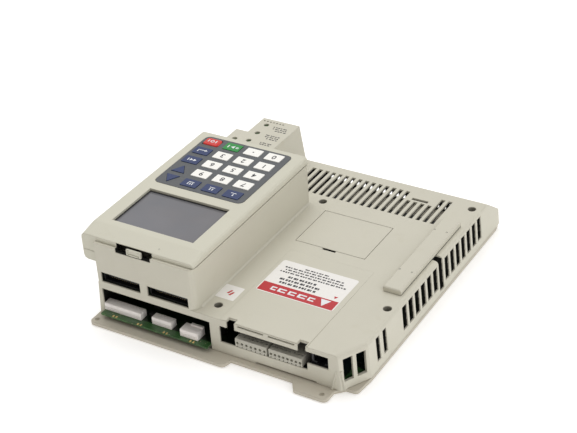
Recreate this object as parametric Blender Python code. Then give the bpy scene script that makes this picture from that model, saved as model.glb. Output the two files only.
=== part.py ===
"""Servo drive with a plug-in keypad, lying on its back with its front face up.

X runs across the drive, -Y is the end with the terminals, and Z rises from the back plate.
Every piece is laid out from the foot of the tower's near left corner. The frame empty then
moves that corner, so that the finished drive stands centred over its own origin.
"""

import math

import bmesh
import bpy
from mathutils import Matrix, Vector

MM = 0.001
GAP = 0.3 * MM  # clearance between pieces that touch
OVERRUN = 1.0 * MM  # how far a cutter runs past the face that it opens

# Back plate
BASE_T = 3.0 * MM
BASE_FLANGE_Y = -12.7 * MM  # near edge of the flange below the tower
BASE_SHELF_Y = -4.7 * MM  # near edge below the terminals
BASE_TAB_Y = -14.0 * MM  # near edge of the fixing tab
BASE_EAR_X = -4.5 * MM  # left edge of the ear beside the flange
EAR_HOLE_R = 1.9 * MM
POST_R = 4.0 * MM
BOARD_POST_R = 3.0 * MM
PILOT_R = 1.7 * MM

# Housing: the low cover
WALL = 2.5 * MM
BODY_LEFT = -2.5 * MM
BODY_RIGHT = 226.0 * MM
BODY_FAR = 252.0 * MM
COVER_Z = 34.0 * MM
COVER_DRAFT = 2.2 * MM
COVER_EDGE_R = 2.6 * MM
CORNER_CUT = (12.5 * MM, 23.0 * MM)  # chamfered near right corner, along X and Y
SLOPE_Y = 230.8 * MM  # the top ends here and slopes to the far wall
SLOPE_Z = 18.0 * MM

# Housing: the tower that holds the keypad, and the block behind it
TOWER_W = 90.8 * MM
TOWER_L = 171.0 * MM
TOWER_CORNER_R = 6.0 * MM
RIM_Z = 70.5 * MM
CRADLE_Z = 50.5 * MM
BLOCK_Z = 66.0 * MM
BLOCK_LEFT = 12.2 * MM
BLOCK_RIGHT = 54.0 * MM
BLOCK_FAR = 230.8 * MM
BLOCK_DRAFT = 6.0 * MM
STEP_LEFT = 0.6 * MM
STEP_FAR = 204.0 * MM
STATUS_HOLES = ((20.8 * MM, 220.6 * MM), (20.8 * MM, 205.6 * MM), (20.8 * MM, 191.4 * MM),
                (8.0 * MM, 189.2 * MM))
STATUS_HOLE_R = 2.4 * MM
PIN_HOLES = 7
PIN_HOLE_SIZE = 1.5 * MM
PIN_HOLE_PITCH = 3.1 * MM
PIN_HOLE_FIRST = (15.5 * MM, 226.6 * MM)

# Openings in the near wall
PORT_Z = (35.2 * MM, 44.2 * MM)
PORTS_X = ((3.2 * MM, TOWER_W / 2 - 5.4 * MM), (TOWER_W / 2 + 1.3 * MM, TOWER_W - 6.5 * MM))
BAY_X = (2.0 * MM, 102.0 * MM)
BAY_TOP = 28.4 * MM
TERMINAL_X = (110.6 * MM, 186.0 * MM)
TERMINAL_Z = (13.0 * MM, 28.0 * MM)
JACK_BAY_X = (185.0 * MM, 203.7 * MM)
JACK_BAY_Z = (19.2 * MM, 29.8 * MM)
LIP_NOTCHES_X = ((117.2 * MM, 124.2 * MM), (178.2 * MM, 185.2 * MM))
LIP_NOTCH_DEPTH = 5.0 * MM
LIP_SLITS_X = ((127.0 * MM, 149.5 * MM), (153.5 * MM, 176.0 * MM))
LIP_SLIT_Z = (31.7 * MM, 33.0 * MM)
SILL_SLIT_X = (141.0 * MM, 193.0 * MM)
SILL_SLIT_H = 1.2 * MM

# Vents
SIDE_VENT_Z = (10.0 * MM, 30.6 * MM)
NEAR_VENTS = (34.2 * MM, 10.6 * MM, 5.6 * MM, 2)  # first Y, pitch, width, count
MIDDLE_VENTS = (76.3 * MM, 10.5 * MM, 7.4 * MM, 6)
FAR_VENTS = (149.5 * MM, 10.15 * MM, 7.0 * MM, 7)
FIN_T = 1.2 * MM
FIN_TOP = 20.0 * MM
CORNER_FINS = (("left_fin", (BODY_RIGHT - 19.6 * MM, -1.7 * MM), (BODY_RIGHT - 15.9 * MM, -0.2 * MM)),
               ("right_fin", (BODY_RIGHT - 10.6 * MM, 1.6 * MM), (BODY_RIGHT - 12.9 * MM, 0.4 * MM)))
CORNER_VENT_W = 8.2 * MM
CORNER_VENT_PITCH = 11.4 * MM
LOUVRE_FIRST_X = 67.1 * MM
LOUVRE_PITCH = 6.43 * MM
LOUVRE_W = 3.5 * MM
LOUVRE_Y = (185.0 * MM, 221.5 * MM)
LOUVRES = 21
SHORT_LOUVRES = (15, 16, 17, 18)
SHORT_LOUVRE_FAR = 209.0 * MM
LABEL_SLOT = (164.6 * MM, 179.4 * MM, 211.0 * MM, 214.0 * MM)
REAR_VENT_Y = 238.0 * MM
REAR_VENT_Z = 5.0 * MM

# Finger recess beside the expansion cover
RECESS_Y = (138.8 * MM, 146.2 * MM)
RECESS_DEPTH = 7.0 * MM
RECESS_FLOOR = 6.0 * MM
RECESS_WALL = 2.0 * MM

# Housing screws
SCREW_XY = ((TOWER_W + 10.2 * MM, 15.2 * MM), (BODY_RIGHT - 9.0 * MM, 66.9 * MM),
            (TOWER_W + 9.2 * MM, 176.9 * MM), (BODY_RIGHT - 10.0 * MM, 218.8 * MM))
SCREW_HOLE_R = 3.5 * MM
SCREW_HEAD_R = 3.0 * MM
SCREW_HEAD_H = 2.4 * MM
SCREW_SHANK_R = 1.4 * MM
SCREW_L = 14.0 * MM
BOSS_R = 5.2 * MM
BOSS_Z = 22.0 * MM
BOSS_FLOOR = 2.5 * MM

# Access door and expansion cover
DOOR_X = (109.1 * MM, 171.0 * MM)
DOOR_Y = (117.0 * MM, 165.3 * MM)
DOOR_T = 2.0 * MM
DOOR_GAP = 0.5 * MM
DOOR_NOTCH = (12.0 * MM, 2.4 * MM)  # finger notch, along X and Y
STRIP_X = (203.6 * MM, 218.6 * MM)
STRIP_Y = (85.5 * MM, 191.5 * MM)
STRIP_T = 4.4 * MM
STRIP_SLOT_MARGIN = 3.0 * MM

# Keypad
KEYPAD_LEFT = -13.2 * MM
KEYPAD_NEAR = 2.8 * MM
KEYPAD_FAR = 171.3 * MM
KEYPAD_Z = 77.4 * MM
PARTING_Z = 60.0 * MM
KEYPAD_WALL = 2.0 * MM
KEYPAD_EDGE_R = 3.6 * MM
KEYPAD_LIP_R = 1.2 * MM
RIM_REVEAL = 0.9 * MM  # shadow line between the keypad and the tower's right rim
CREASE_Y = 18.0 * MM
CREASE_DROP = 3.1 * MM
LCD_X = (1.3 * MM, TOWER_W - 14.2 * MM)
LCD_Y = (24.4 * MM, 75.6 * MM)
LCD_MARGIN = 2.0 * MM
LCD_GLASS_T = 1.1 * MM
LCD_MODULE_T = 7.0 * MM
OVERLAY_X = (-3.0 * MM, TOWER_W - 10.5 * MM)
OVERLAY_Y = (86.0 * MM, 166.2 * MM)
OVERLAY_R = 5.0 * MM
OVERLAY_T = 0.9 * MM
KEY_PITCH = (TOWER_W - 10.8 * MM) / 4
KEY_COLUMNS = tuple(TOWER_W - 23.8 * MM - KEY_PITCH * column for column in range(4))
KEY_FAR_Y = 158.3 * MM
KEY_ROW_PITCH = 15.78 * MM
KEY_W = 0.74 * KEY_PITCH
KEY_D = 10.3 * MM
KEY_PROUD = 0.6 * MM
KEY_SKIRT = 0.7 * MM
KEY_SKIRT_T = 0.7 * MM
KEY_FIELD_GAP = 0.5 * MM  # from the outermost skirts to the shell's ledge
KEY_CORNER_R = 1.2 * MM
KEY_TRAVEL = 0.8 * MM
STOP_BEVEL = 0.75 * KEY_CORNER_R  # the sloped rim of the raised stop key
ARROW_R = 6.9 * MM
KEYPAD_BOARD_T = 1.6 * MM

# Keypad latch
LATCH_X = (31.0 * MM, 44.2 * MM)
LATCH_TOP = 72.8 * MM
LATCH_T = 1.9 * MM
LATCH_POCKET_X = (20.7 * MM, 53.0 * MM)
LATCH_POCKET_Z = (67.2 * MM, 74.0 * MM)

# Boards and what they carry
BOARD_T = 1.6 * MM
MAIN_BOARD_Z = 6.7 * MM
MAIN_BOARD_NEAR = -5.7 * MM
MAIN_BOARD_FAR = 226.0 * MM
CAPACITOR_INSETS = (56.6 * MM, 34.2 * MM)  # from the tower's right face to their axes
LINK_INSET = 14.8 * MM  # from the tower's right face to the link between the boards
LINK_SIZE = (8.0 * MM, 56.0 * MM)
LINK_NEAR = 40.0 * MM
UPPER_BOARD_Z = 32.8 * MM
UPPER_BOARD_FAR = 160.0 * MM
BOARD_POSTS_X = (11.0 * MM, TOWER_W - 10.8 * MM)
BOARD_POSTS_Y = (24.0 * MM, 150.0 * MM)
BOARD_POSTS = tuple((x, y) for y in BOARD_POSTS_Y for x in BOARD_POSTS_X)
HEADER_H = 6.3 * MM
HEADERS = (("header_motor_feedback", 2.5, 37.2, -0.4), ("header_encoder_output", 47.0, 65.3, 0.4),
           ("header_serial_link", 75.2, 91.4, -2.6))
HEADER_FAR = 7.6 * MM
HEADER_GROOVE = 0.36  # height of the groove, as a share of the housing
HEADER_GROOVE_W = 0.5 * MM
PORT_HEADER_L = 14.0 * MM
PLUG_H = 7.6 * MM
PLUG_NEAR = 0.2 * MM
PLUG_FAR = 10.8 * MM
PLUGS = (("terminal_plug_left", 123.8, 151.2, 7), ("terminal_plug_right", 153.0, 181.4, 8))
SOCKET_L = 12.0 * MM
JACK_X = (188.2 * MM, 203.4 * MM)
JACK_L = 15.0 * MM

SEGMENTS = 24  # sides of the round pieces

WARM_GREY = (0.67, 0.64, 0.55)
KEYPAD_GREY = (0.69, 0.67, 0.58)
DARK_GREY = (0.13, 0.135, 0.14)
OFF_WHITE = (0.82, 0.81, 0.77)
KEY_BLUE = (0.03, 0.055, 0.16)
KEY_RED = (0.72, 0.06, 0.04)
KEY_GREEN = (0.03, 0.32, 0.07)
BOARD_GREEN = (0.03, 0.17, 0.05)
BLACK = (0.015, 0.015, 0.017)
CONNECTOR_WHITE = (0.80, 0.76, 0.72)
TERMINAL_GREY = (0.55, 0.54, 0.51)
STEEL = (0.55, 0.55, 0.56)
ALUMINIUM = (0.72, 0.72, 0.74)
LCD_GREY = (0.17, 0.17, 0.19)


# ---------------------------------------------------------------- scene and materials

def clear_scene():
    for old in list(bpy.data.objects):
        bpy.data.objects.remove(old, do_unlink=True)


def make_collection(name):
    made = bpy.data.collections.new(name)
    bpy.context.scene.collection.children.link(made)
    return made


clear_scene()
DRIVE = make_collection("servo_drive")
CUTTERS = make_collection("cutters")
CUTTERS.hide_render = True

FRAME = bpy.data.objects.new("drive_frame", None)
FRAME.location = (-(BODY_RIGHT + KEYPAD_LEFT) / 2, -(BODY_FAR + BASE_TAB_Y) / 2, 0.0)
DRIVE.objects.link(FRAME)


def make_material(name, colour, roughness=0.5, metallic=0.0, alpha=1.0):
    made = bpy.data.materials.get(name)
    if made is None:
        made = bpy.data.materials.new(name)
        made.use_nodes = True
        made.diffuse_color = (*colour, alpha)
        shader = made.node_tree.nodes["Principled BSDF"]
        shader.inputs["Base Color"].default_value = (*colour, 1.0)
        shader.inputs["Roughness"].default_value = roughness
        shader.inputs["Metallic"].default_value = metallic
        shader.inputs["Alpha"].default_value = alpha
    return made


# ---------------------------------------------------------------- modelling helpers

def add_object(name, bm, material, origin):
    """Turn a bmesh in drive coordinates into an object; without a material it is a cutter."""
    bmesh.ops.translate(bm, verts=bm.verts, vec=-Vector(origin))
    bmesh.ops.recalc_face_normals(bm, faces=bm.faces)
    mesh = bpy.data.meshes.new(name)
    bm.to_mesh(mesh)
    bm.free()
    made = bpy.data.objects.new(name, mesh)
    made.location = origin
    made.parent = FRAME
    if material is None:
        made.hide_render = True
        made.display_type = 'WIRE'
        CUTTERS.objects.link(made)
    else:
        mesh.materials.append(material)
        DRIVE.objects.link(made)
    return made


def add_cube(bm, low, high):
    """Add a block between two corners to a bmesh."""
    low, high = Vector(low), Vector(high)
    made = bmesh.ops.create_cube(bm, size=1.0)["verts"]
    bmesh.ops.scale(bm, vec=high - low, verts=made)
    bmesh.ops.translate(bm, vec=(low + high) / 2, verts=made)
    return made


def bevel_edges(bm, picks, width, segments=2):
    """Round the edges whose two ends both pass the test."""
    edges = [edge for edge in bm.edges if all(picks(vert.co) for vert in edge.verts)]
    if edges:
        bmesh.ops.bevel(bm, geom=edges, offset=width, offset_type='OFFSET', segments=segments, profile=0.5,
                        affect='EDGES', clamp_overlap=True)


def box(name, low, high, material=None, bevel=0.0, picks=None, segments=2, origin=None):
    bm = bmesh.new()
    add_cube(bm, low, high)
    if bevel:
        bevel_edges(bm, picks or (lambda co: True), bevel, segments)
    centre = (Vector(low) + Vector(high)) / 2
    return add_object(name, bm, material, origin or centre)


def boxes(name, corners):
    """One cutter made of several separate blocks."""
    bm = bmesh.new()
    for low, high in corners:
        add_cube(bm, low, high)
    return add_object(name, bm, None, corners[0][0])


def rods(name, places, radius, z_low, z_high, material=None, segments=SEGMENTS):
    """Upright round rods at the given places, as one object."""
    bm = bmesh.new()
    for x, y in places:
        turn = Matrix.Translation((x, y, (z_low + z_high) / 2))
        bmesh.ops.create_cone(bm, cap_ends=True, segments=segments, radius1=radius, radius2=radius,
                              depth=z_high - z_low, matrix=turn)
    return add_object(name, bm, material, (*places[0], z_low))


def arc_corner(previous, corner, following, radius, steps=4):
    """Points of a round corner between two straight edges."""
    corner = Vector(corner)
    before = (Vector(previous) - corner).normalized()
    after = (Vector(following) - corner).normalized()
    half = before.angle(after) / 2
    reach = radius / math.tan(half)
    centre = corner + (before + after).normalized() * radius / math.sin(half)
    start = corner + before * reach - centre
    turn = start.angle_signed(corner + after * reach - centre)
    points = []
    for step in range(steps + 1):
        angle = -turn * step / steps
        points.append(centre + Matrix.Rotation(angle, 2) @ start)
    return points


def rounded_outline(points):
    """An outline of (x, y, radius) corners, with a small arc where the radius isn't nought."""
    result = []
    for index, (x, y, radius) in enumerate(points):
        if radius:
            before = points[index - 1][:2]
            after = points[(index + 1) % len(points)][:2]
            result.extend(arc_corner(before, (x, y), after, radius))
        else:
            result.append(Vector((x, y)))
    return result


def outline_bmesh(points, z_low, z_high):
    """A flat outline, filled and extruded between two heights."""
    curve = bpy.data.curves.new("outline", 'CURVE')
    curve.dimensions = '2D'
    curve.fill_mode = 'BOTH'
    curve.extrude = (z_high - z_low) / 2
    spline = curve.splines.new('POLY')
    spline.points.add(len(points) - 1)
    spline.use_cyclic_u = True
    for point, place in zip(spline.points, points):
        point.co = (place[0], place[1], 0.0, 1.0)
    holder = bpy.data.objects.new("outline", curve)
    CUTTERS.objects.link(holder)
    bpy.context.view_layer.update()
    graph = bpy.context.evaluated_depsgraph_get()
    mesh = bpy.data.meshes.new_from_object(holder.evaluated_get(graph))
    bm = bmesh.new()
    bm.from_mesh(mesh)
    bpy.data.objects.remove(holder, do_unlink=True)
    bpy.data.curves.remove(curve)
    bpy.data.meshes.remove(mesh)
    bmesh.ops.remove_doubles(bm, verts=bm.verts, dist=0.00001)
    bmesh.ops.translate(bm, verts=bm.verts, vec=(0.0, 0.0, (z_low + z_high) / 2))
    bmesh.ops.dissolve_limit(bm, angle_limit=0.01, verts=bm.verts, edges=bm.edges)
    return bm


def plate(name, points, z_low, z_high, material=None, origin=None):
    bm = outline_bmesh(rounded_outline(points), z_low, z_high)
    return add_object(name, bm, material, origin or (points[0][0], points[0][1], z_low))


def rectangle(x_range, y_range, radius=0.0):
    return [(x_range[0], y_range[0], radius), (x_range[1], y_range[0], radius),
            (x_range[1], y_range[1], radius), (x_range[0], y_range[1], radius)]


def slice_off(bm, point, normal):
    """Cut a closed bmesh along a plane, drop what lies in front of it and close the cut."""
    geometry = bm.verts[:] + bm.edges[:] + bm.faces[:]
    result = bmesh.ops.bisect_plane(bm, geom=geometry, plane_co=point, plane_no=normal, clear_outer=True)
    rim = [item for item in result["geom_cut"] if isinstance(item, bmesh.types.BMEdge)]
    bmesh.ops.edgeloop_fill(bm, edges=rim)


def combine(target, tool, operation):
    step = target.modifiers.new(tool.name, 'BOOLEAN')
    step.operation = operation
    step.solver = 'EXACT'
    step.object = tool


def cut(target, *tools):
    for tool in tools:
        combine(target, tool, 'DIFFERENCE')


def fuse(target, *tools):
    for tool in tools:
        combine(target, tool, 'UNION')


def smooth(made, angle=35.0):
    made.data.shade_smooth()
    made.data.set_sharp_from_angle(angle=math.radians(angle))
    return made


# ---------------------------------------------------------------- base plate

def make_base_plate():
    plastic = make_material("base_plastic", WARM_GREY, 0.55)
    outline = [
        (BASE_EAR_X, BASE_FLANGE_Y, 3.0 * MM), (TOWER_W + 29.0 * MM, BASE_FLANGE_Y, 4.0 * MM),
        (TOWER_W + 31.0 * MM, BASE_SHELF_Y, 0.0), (BODY_RIGHT - 51.0 * MM, BASE_SHELF_Y, 0.0),
        (BODY_RIGHT - 45.0 * MM, BASE_TAB_Y, 3.0 * MM), (BODY_RIGHT - 17.5 * MM, BASE_TAB_Y, 4.0 * MM),
        (BODY_RIGHT - 17.5 * MM, -2.0 * MM, 0.0), (BODY_RIGHT - 11.0 * MM, 4.5 * MM, 0.0),
        (BODY_RIGHT - 2.0 * MM, 5.0 * MM, 3.0 * MM), (BODY_RIGHT, CORNER_CUT[1], 0.0),
        (BODY_RIGHT, BODY_FAR - 6.0 * MM, 0.0), (BODY_RIGHT - 1.2 * MM, BODY_FAR, 0.0),
        (BODY_LEFT, BODY_FAR, 0.0), (BODY_LEFT, 12.0 * MM, 0.0), (BASE_EAR_X, 10.0 * MM, 0.0)]
    base = plate("base_plate", outline, 0.0, BASE_T, plastic)
    fuse(base, rods("base_posts", SCREW_XY, POST_R, BASE_T / 2, BOSS_Z - GAP))
    fuse(base, rods("board_posts", BOARD_POSTS, BOARD_POST_R, BASE_T / 2, UPPER_BOARD_Z - GAP, segments=16))
    cut(base, rods("base_pilots", SCREW_XY, PILOT_R, BASE_T, BOSS_Z + OVERRUN, segments=12))
    ears = ((BASE_EAR_X + 4.2 * MM, BASE_FLANGE_Y + 4.8 * MM),
            (BODY_RIGHT - 23.5 * MM, BASE_TAB_Y + 5.0 * MM))
    cut(base, rods("ear_holes", ears, EAR_HOLE_R, -OVERRUN, BASE_T + OVERRUN, segments=16))
    return base


# ---------------------------------------------------------------- housing

def cover_bmesh(inset, z_low, z_high):
    """The low cover's outer form, or its hollow when inset by the wall."""
    cut_x, cut_y = CORNER_CUT
    shift = inset * math.tan(math.atan2(cut_y, cut_x) / 2) / 2
    outline = [
        (BODY_LEFT + inset, inset, 0.0), (BODY_RIGHT - cut_x - shift, inset, 0.0),
        (BODY_RIGHT - inset, cut_y + shift, 0.0), (BODY_RIGHT - inset, BODY_FAR - inset, 0.0),
        (BODY_LEFT + inset, BODY_FAR - inset, 0.0)]
    bm = outline_bmesh(rounded_outline(outline), z_low, z_high)
    draft = COVER_DRAFT * (z_high - z_low) / COVER_Z
    middle = (BODY_LEFT + BODY_RIGHT) / 2
    for vert in bm.verts:
        if vert.co.z > (z_low + z_high) / 2:
            vert.co.x += draft if vert.co.x < middle else -draft
    slope = Vector((0.0, COVER_Z - SLOPE_Z, BODY_FAR - SLOPE_Y)).normalized()
    slice_off(bm, Vector((0.0, SLOPE_Y, COVER_Z)) - slope * inset, slope)
    return bm


def block_outline(inset, near):
    return [
        (STEP_LEFT + inset, near, 0.0), (BLOCK_RIGHT - inset, near, 0.0),
        (BLOCK_RIGHT - inset, BLOCK_FAR - inset, 0.0), (BLOCK_LEFT + inset, BLOCK_FAR - inset, 0.0),
        (BLOCK_LEFT + inset, STEP_FAR - inset, 0.0), (STEP_LEFT + inset, STEP_FAR - inset, 0.0)]


def block_bmesh(inset, near, z_low, z_high):
    """The raised block behind the keypad, whose right wall leans inwards."""
    bm = outline_bmesh(rounded_outline(block_outline(inset, near)), z_low, z_high)
    lean = BLOCK_DRAFT * (z_high - z_low) / (BLOCK_Z - CRADLE_Z / 2)
    for vert in bm.verts:
        if vert.co.z > (z_low + z_high) / 2 and vert.co.x > BLOCK_RIGHT - 2 * inset - OVERRUN:
            vert.co.x -= lean
    return bm


def vent_boxes(row, x_range):
    """Side vents of one row: a first place, a pitch, a width and a count."""
    first, pitch, width, count = row
    made = []
    for index in range(count):
        near = first + pitch * index
        made.append(((x_range[0], near, SIDE_VENT_Z[0]), (x_range[1], near + width, SIDE_VENT_Z[1])))
    return made


def cut_near_openings(housing):
    depth = (-OVERRUN, WALL + OVERRUN)
    openings = [((x0, depth[0], PORT_Z[0]), (x1, depth[1], PORT_Z[1])) for x0, x1 in PORTS_X]
    cut(housing, boxes("port_cut", openings))
    cut(housing, box("bay_cut", (BAY_X[0], depth[0], 0.0), (BAY_X[1], depth[1], BAY_TOP)))
    cut(housing, box("terminal_cut", (TERMINAL_X[0], depth[0], TERMINAL_Z[0]),
                     (TERMINAL_X[1], depth[1], TERMINAL_Z[1])))
    cut(housing, box("jack_cut", (JACK_BAY_X[0], depth[0], JACK_BAY_Z[0]),
                     (JACK_BAY_X[1], depth[1], JACK_BAY_Z[1])))
    notches = [((x0, depth[0], TERMINAL_Z[1] - OVERRUN), (x1, LIP_NOTCH_DEPTH, COVER_Z + OVERRUN))
               for x0, x1 in LIP_NOTCHES_X]
    cut(housing, boxes("lip_notch_cut", notches))
    slits = [((x0, depth[0], LIP_SLIT_Z[0]), (x1, depth[1], LIP_SLIT_Z[1])) for x0, x1 in LIP_SLITS_X]
    cut(housing, boxes("lip_slit_cut", slits))
    cut(housing, box("sill_slit_cut", (SILL_SLIT_X[0], -OVERRUN, 0.0),
                     (SILL_SLIT_X[1], WALL / 2, BASE_T + GAP + SILL_SLIT_H)))


def add_corner_fins(housing):
    """Two thin ribs that run down the near right corner to the back plate."""
    for name, foot, head in CORNER_FINS:
        side = Vector((head[0] - foot[0], head[1] - foot[1], 0.0))
        across = Vector((FIN_T / 2, 0.0, 0.0))
        inward = Vector((0.0, WALL, 0.0))
        low = Vector((foot[0], foot[1], BASE_T + GAP))
        high = low + side + Vector((0.0, 0.0, FIN_TOP - BASE_T))
        bm = bmesh.new()
        rings = []
        for spot in (low, high):
            rings.append([bm.verts.new(spot + shift) for shift in
                          (-across, across, across + inward, inward - across)])
        bm.faces.new(reversed(rings[0]))
        bm.faces.new(rings[1])
        for index in range(4):
            after = (index + 1) % 4
            bm.faces.new((rings[0][index], rings[0][after], rings[1][after], rings[1][index]))
        fuse(housing, add_object(name, bm, None, (0.0, 0.0, 0.0)))


def cut_vents(housing):
    side = (BODY_RIGHT - 3 * WALL, BODY_RIGHT + OVERRUN)
    cut(housing, boxes("side_vent_cut", vent_boxes(NEAR_VENTS, side) + vent_boxes(MIDDLE_VENTS, side)
                       + vent_boxes(FAR_VENTS, side)))
    slots = []
    rear = []
    for index in range(LOUVRES):
        left = LOUVRE_FIRST_X + LOUVRE_PITCH * index - LOUVRE_W / 2
        far = SHORT_LOUVRE_FAR if index in SHORT_LOUVRES else LOUVRE_Y[1]
        slots.append(((left, LOUVRE_Y[0], COVER_Z - 2 * WALL), (left + LOUVRE_W, far, COVER_Z + OVERRUN)))
        rear.append(((left, REAR_VENT_Y, REAR_VENT_Z), (left + LOUVRE_W, BODY_FAR + OVERRUN, COVER_Z)))
    x0, x1, y0, y1 = LABEL_SLOT
    slots.append(((x0, y0, COVER_Z - 2 * WALL), (x1, y1, COVER_Z + OVERRUN)))
    cut(housing, boxes("louvre_cut", slots), boxes("rear_vent_cut", rear))


def cut_corner_vents(housing):
    """Two vents through the chamfered corner, square to it."""
    cut_x, cut_y = CORNER_CUT
    middle = Vector((BODY_RIGHT - cut_x / 2, cut_y / 2, 0.0))
    along = Vector((cut_x, cut_y, 0.0)).normalized()
    for index in (0, 1):
        place = middle + along * CORNER_VENT_PITCH * (index - 0.5)
        half = CORNER_VENT_W / 2
        tool = box("corner_vent_cut_%d" % index, (-half, -2 * WALL, SIDE_VENT_Z[0]),
                   (half, 2 * WALL, SIDE_VENT_Z[1] - OVERRUN), origin=(0.0, 0.0, 0.0))
        tool.location = place
        tool.rotation_euler = (0.0, 0.0, math.atan2(cut_y, cut_x))
        cut(housing, tool)


def add_recess(housing):
    """The finger recess: an inner pocket fused to the wall, then opened from outside."""
    left = BODY_RIGHT - RECESS_DEPTH - COVER_DRAFT
    fuse(housing, box("recess_pocket", (left - RECESS_WALL, RECESS_Y[0] - RECESS_WALL, BASE_T + GAP),
                      (BODY_RIGHT - 1.2 * COVER_DRAFT, RECESS_Y[1] + RECESS_WALL, COVER_Z - WALL / 2)))
    cut(housing, box("recess_cut", (left, RECESS_Y[0], RECESS_FLOOR),
                     (BODY_RIGHT + OVERRUN, RECESS_Y[1], COVER_Z + OVERRUN)))


def make_housing():
    plastic = make_material("housing_plastic", WARM_GREY, 0.5)
    outer = cover_bmesh(0.0, BASE_T + GAP, COVER_Z)
    rounded = COVER_Z - OVERRUN
    right = BODY_RIGHT - CORNER_CUT[0] - 2 * COVER_DRAFT
    bevel_edges(outer, lambda co: co.z > rounded and co.x > right, COVER_EDGE_R, 2)
    housing = add_object("housing", outer, plastic, (0.0, 0.0, BASE_T + GAP))
    tower = [(0.0, 0.0, 0.0), (TOWER_W, 0.0, TOWER_CORNER_R), (TOWER_W, TOWER_L, 1.5 * MM),
             (0.0, TOWER_L, 0.0)]
    fuse(housing, plate("tower_outer", tower, COVER_Z / 2, RIM_Z))
    fuse(housing, add_object("block_outer", block_bmesh(0.0, TOWER_L - 2 * WALL, CRADLE_Z / 2, BLOCK_Z),
                             None,
                             (0.0, 0.0, 0.0)))
    hollow = cover_bmesh(WALL, 0.0, COVER_Z - WALL)
    cut(housing, add_object("cover_hollow", hollow, None, (0.0, 0.0, 0.0)))
    cut(housing, box("tower_hollow", (WALL, WALL, OVERRUN),
                     (TOWER_W - WALL, TOWER_L - WALL, CRADLE_Z - WALL)))
    cut(housing, box("cradle_cut", (KEYPAD_LEFT, KEYPAD_NEAR - GAP, CRADLE_Z),
                     (TOWER_W - WALL, KEYPAD_FAR + GAP, RIM_Z + KEYPAD_Z)))
    low = block_bmesh(WALL, TOWER_L - 3 * WALL, OVERRUN, CRADLE_Z - WALL)
    high = block_bmesh(WALL, KEYPAD_FAR + GAP + WALL, CRADLE_Z / 2, BLOCK_Z - WALL)
    cut(housing, add_object("block_hollow_low", low, None, (0.0, 0.0, 0.0)))
    cut(housing, add_object("block_hollow_high", high, None, (0.0, 0.0, 0.0)))
    add_recess(housing)
    add_corner_fins(housing)
    fuse(housing, rods("bosses", SCREW_XY, BOSS_R, BOSS_Z, COVER_Z - WALL / 2))
    cut(housing, rods("screw_wells", SCREW_XY, SCREW_HOLE_R, BOSS_Z + BOSS_FLOOR, COVER_Z + OVERRUN))
    cut(housing, rods("screw_ways", SCREW_XY, SCREW_SHANK_R + GAP, BOSS_Z - OVERRUN, COVER_Z, segments=12))
    cut_near_openings(housing)
    cut_vents(housing)
    cut_corner_vents(housing)
    cut(housing, rods("status_cut", STATUS_HOLES, STATUS_HOLE_R, BLOCK_Z - 2 * WALL, BLOCK_Z + OVERRUN,
                      segments=16))
    pins = []
    for index in range(PIN_HOLES):
        x = PIN_HOLE_FIRST[0] + PIN_HOLE_PITCH * index
        pins.append(((x - PIN_HOLE_SIZE / 2, PIN_HOLE_FIRST[1] - PIN_HOLE_SIZE / 2, BLOCK_Z - 2 * WALL),
                     (x + PIN_HOLE_SIZE / 2, PIN_HOLE_FIRST[1] + PIN_HOLE_SIZE / 2, BLOCK_Z + OVERRUN)))
    cut(housing, boxes("pin_hole_cut", pins))
    cut(housing, box("door_cut", (DOOR_X[0] - DOOR_GAP, DOOR_Y[0] - DOOR_GAP, COVER_Z - 2 * WALL),
                     (DOOR_X[1] + DOOR_GAP, DOOR_Y[1] + DOOR_GAP, COVER_Z + OVERRUN)))
    middle = (DOOR_X[0] + DOOR_X[1]) / 2
    cut(housing, box("door_notch_cut", (middle - DOOR_NOTCH[0] / 2, DOOR_Y[0] - DOOR_NOTCH[1],
                                        COVER_Z - 2 * WALL),
                     (middle + DOOR_NOTCH[0] / 2, DOOR_Y[0], COVER_Z + OVERRUN)))
    cut(housing, box("strip_cut", (STRIP_X[0] + STRIP_SLOT_MARGIN, STRIP_Y[0] + STRIP_SLOT_MARGIN,
                                   COVER_Z - 2 * WALL),
                     (STRIP_X[1] - STRIP_SLOT_MARGIN - RECESS_WALL, STRIP_Y[1] - STRIP_SLOT_MARGIN,
                      COVER_Z + OVERRUN)))
    cut(housing, box("latch_rim_cut", (LATCH_POCKET_X[0], -OVERRUN, LATCH_POCKET_Z[0]),
                     (LATCH_POCKET_X[1], KEYPAD_NEAR, RIM_Z + OVERRUN)))
    cut(housing, box("keypad_plug_way", (31.0 * MM, 119.0 * MM, CRADLE_Z - 2 * WALL),
                     (55.0 * MM, 129.0 * MM, CRADLE_Z + OVERRUN)))
    return housing


def make_access_door():
    plastic = make_material("cover_plastic", WARM_GREY, 0.48)
    return box("access_door", (DOOR_X[0], DOOR_Y[0], COVER_Z - DOOR_T), (DOOR_X[1], DOOR_Y[1], COVER_Z),
               plastic,
               origin=(DOOR_X[1], (DOOR_Y[0] + DOOR_Y[1]) / 2, COVER_Z))


def make_expansion_cover():
    plastic = make_material("cover_plastic", WARM_GREY, 0.48)
    low = COVER_Z + GAP
    top = low + STRIP_T - OVERRUN
    return box("expansion_cover", (STRIP_X[0], STRIP_Y[0], low), (STRIP_X[1], STRIP_Y[1], low + STRIP_T),
               plastic,
               bevel=0.8 * MM, picks=lambda co: co.z > top, segments=1,
               origin=(STRIP_X[0], (STRIP_Y[0] + STRIP_Y[1]) / 2, low))


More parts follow.
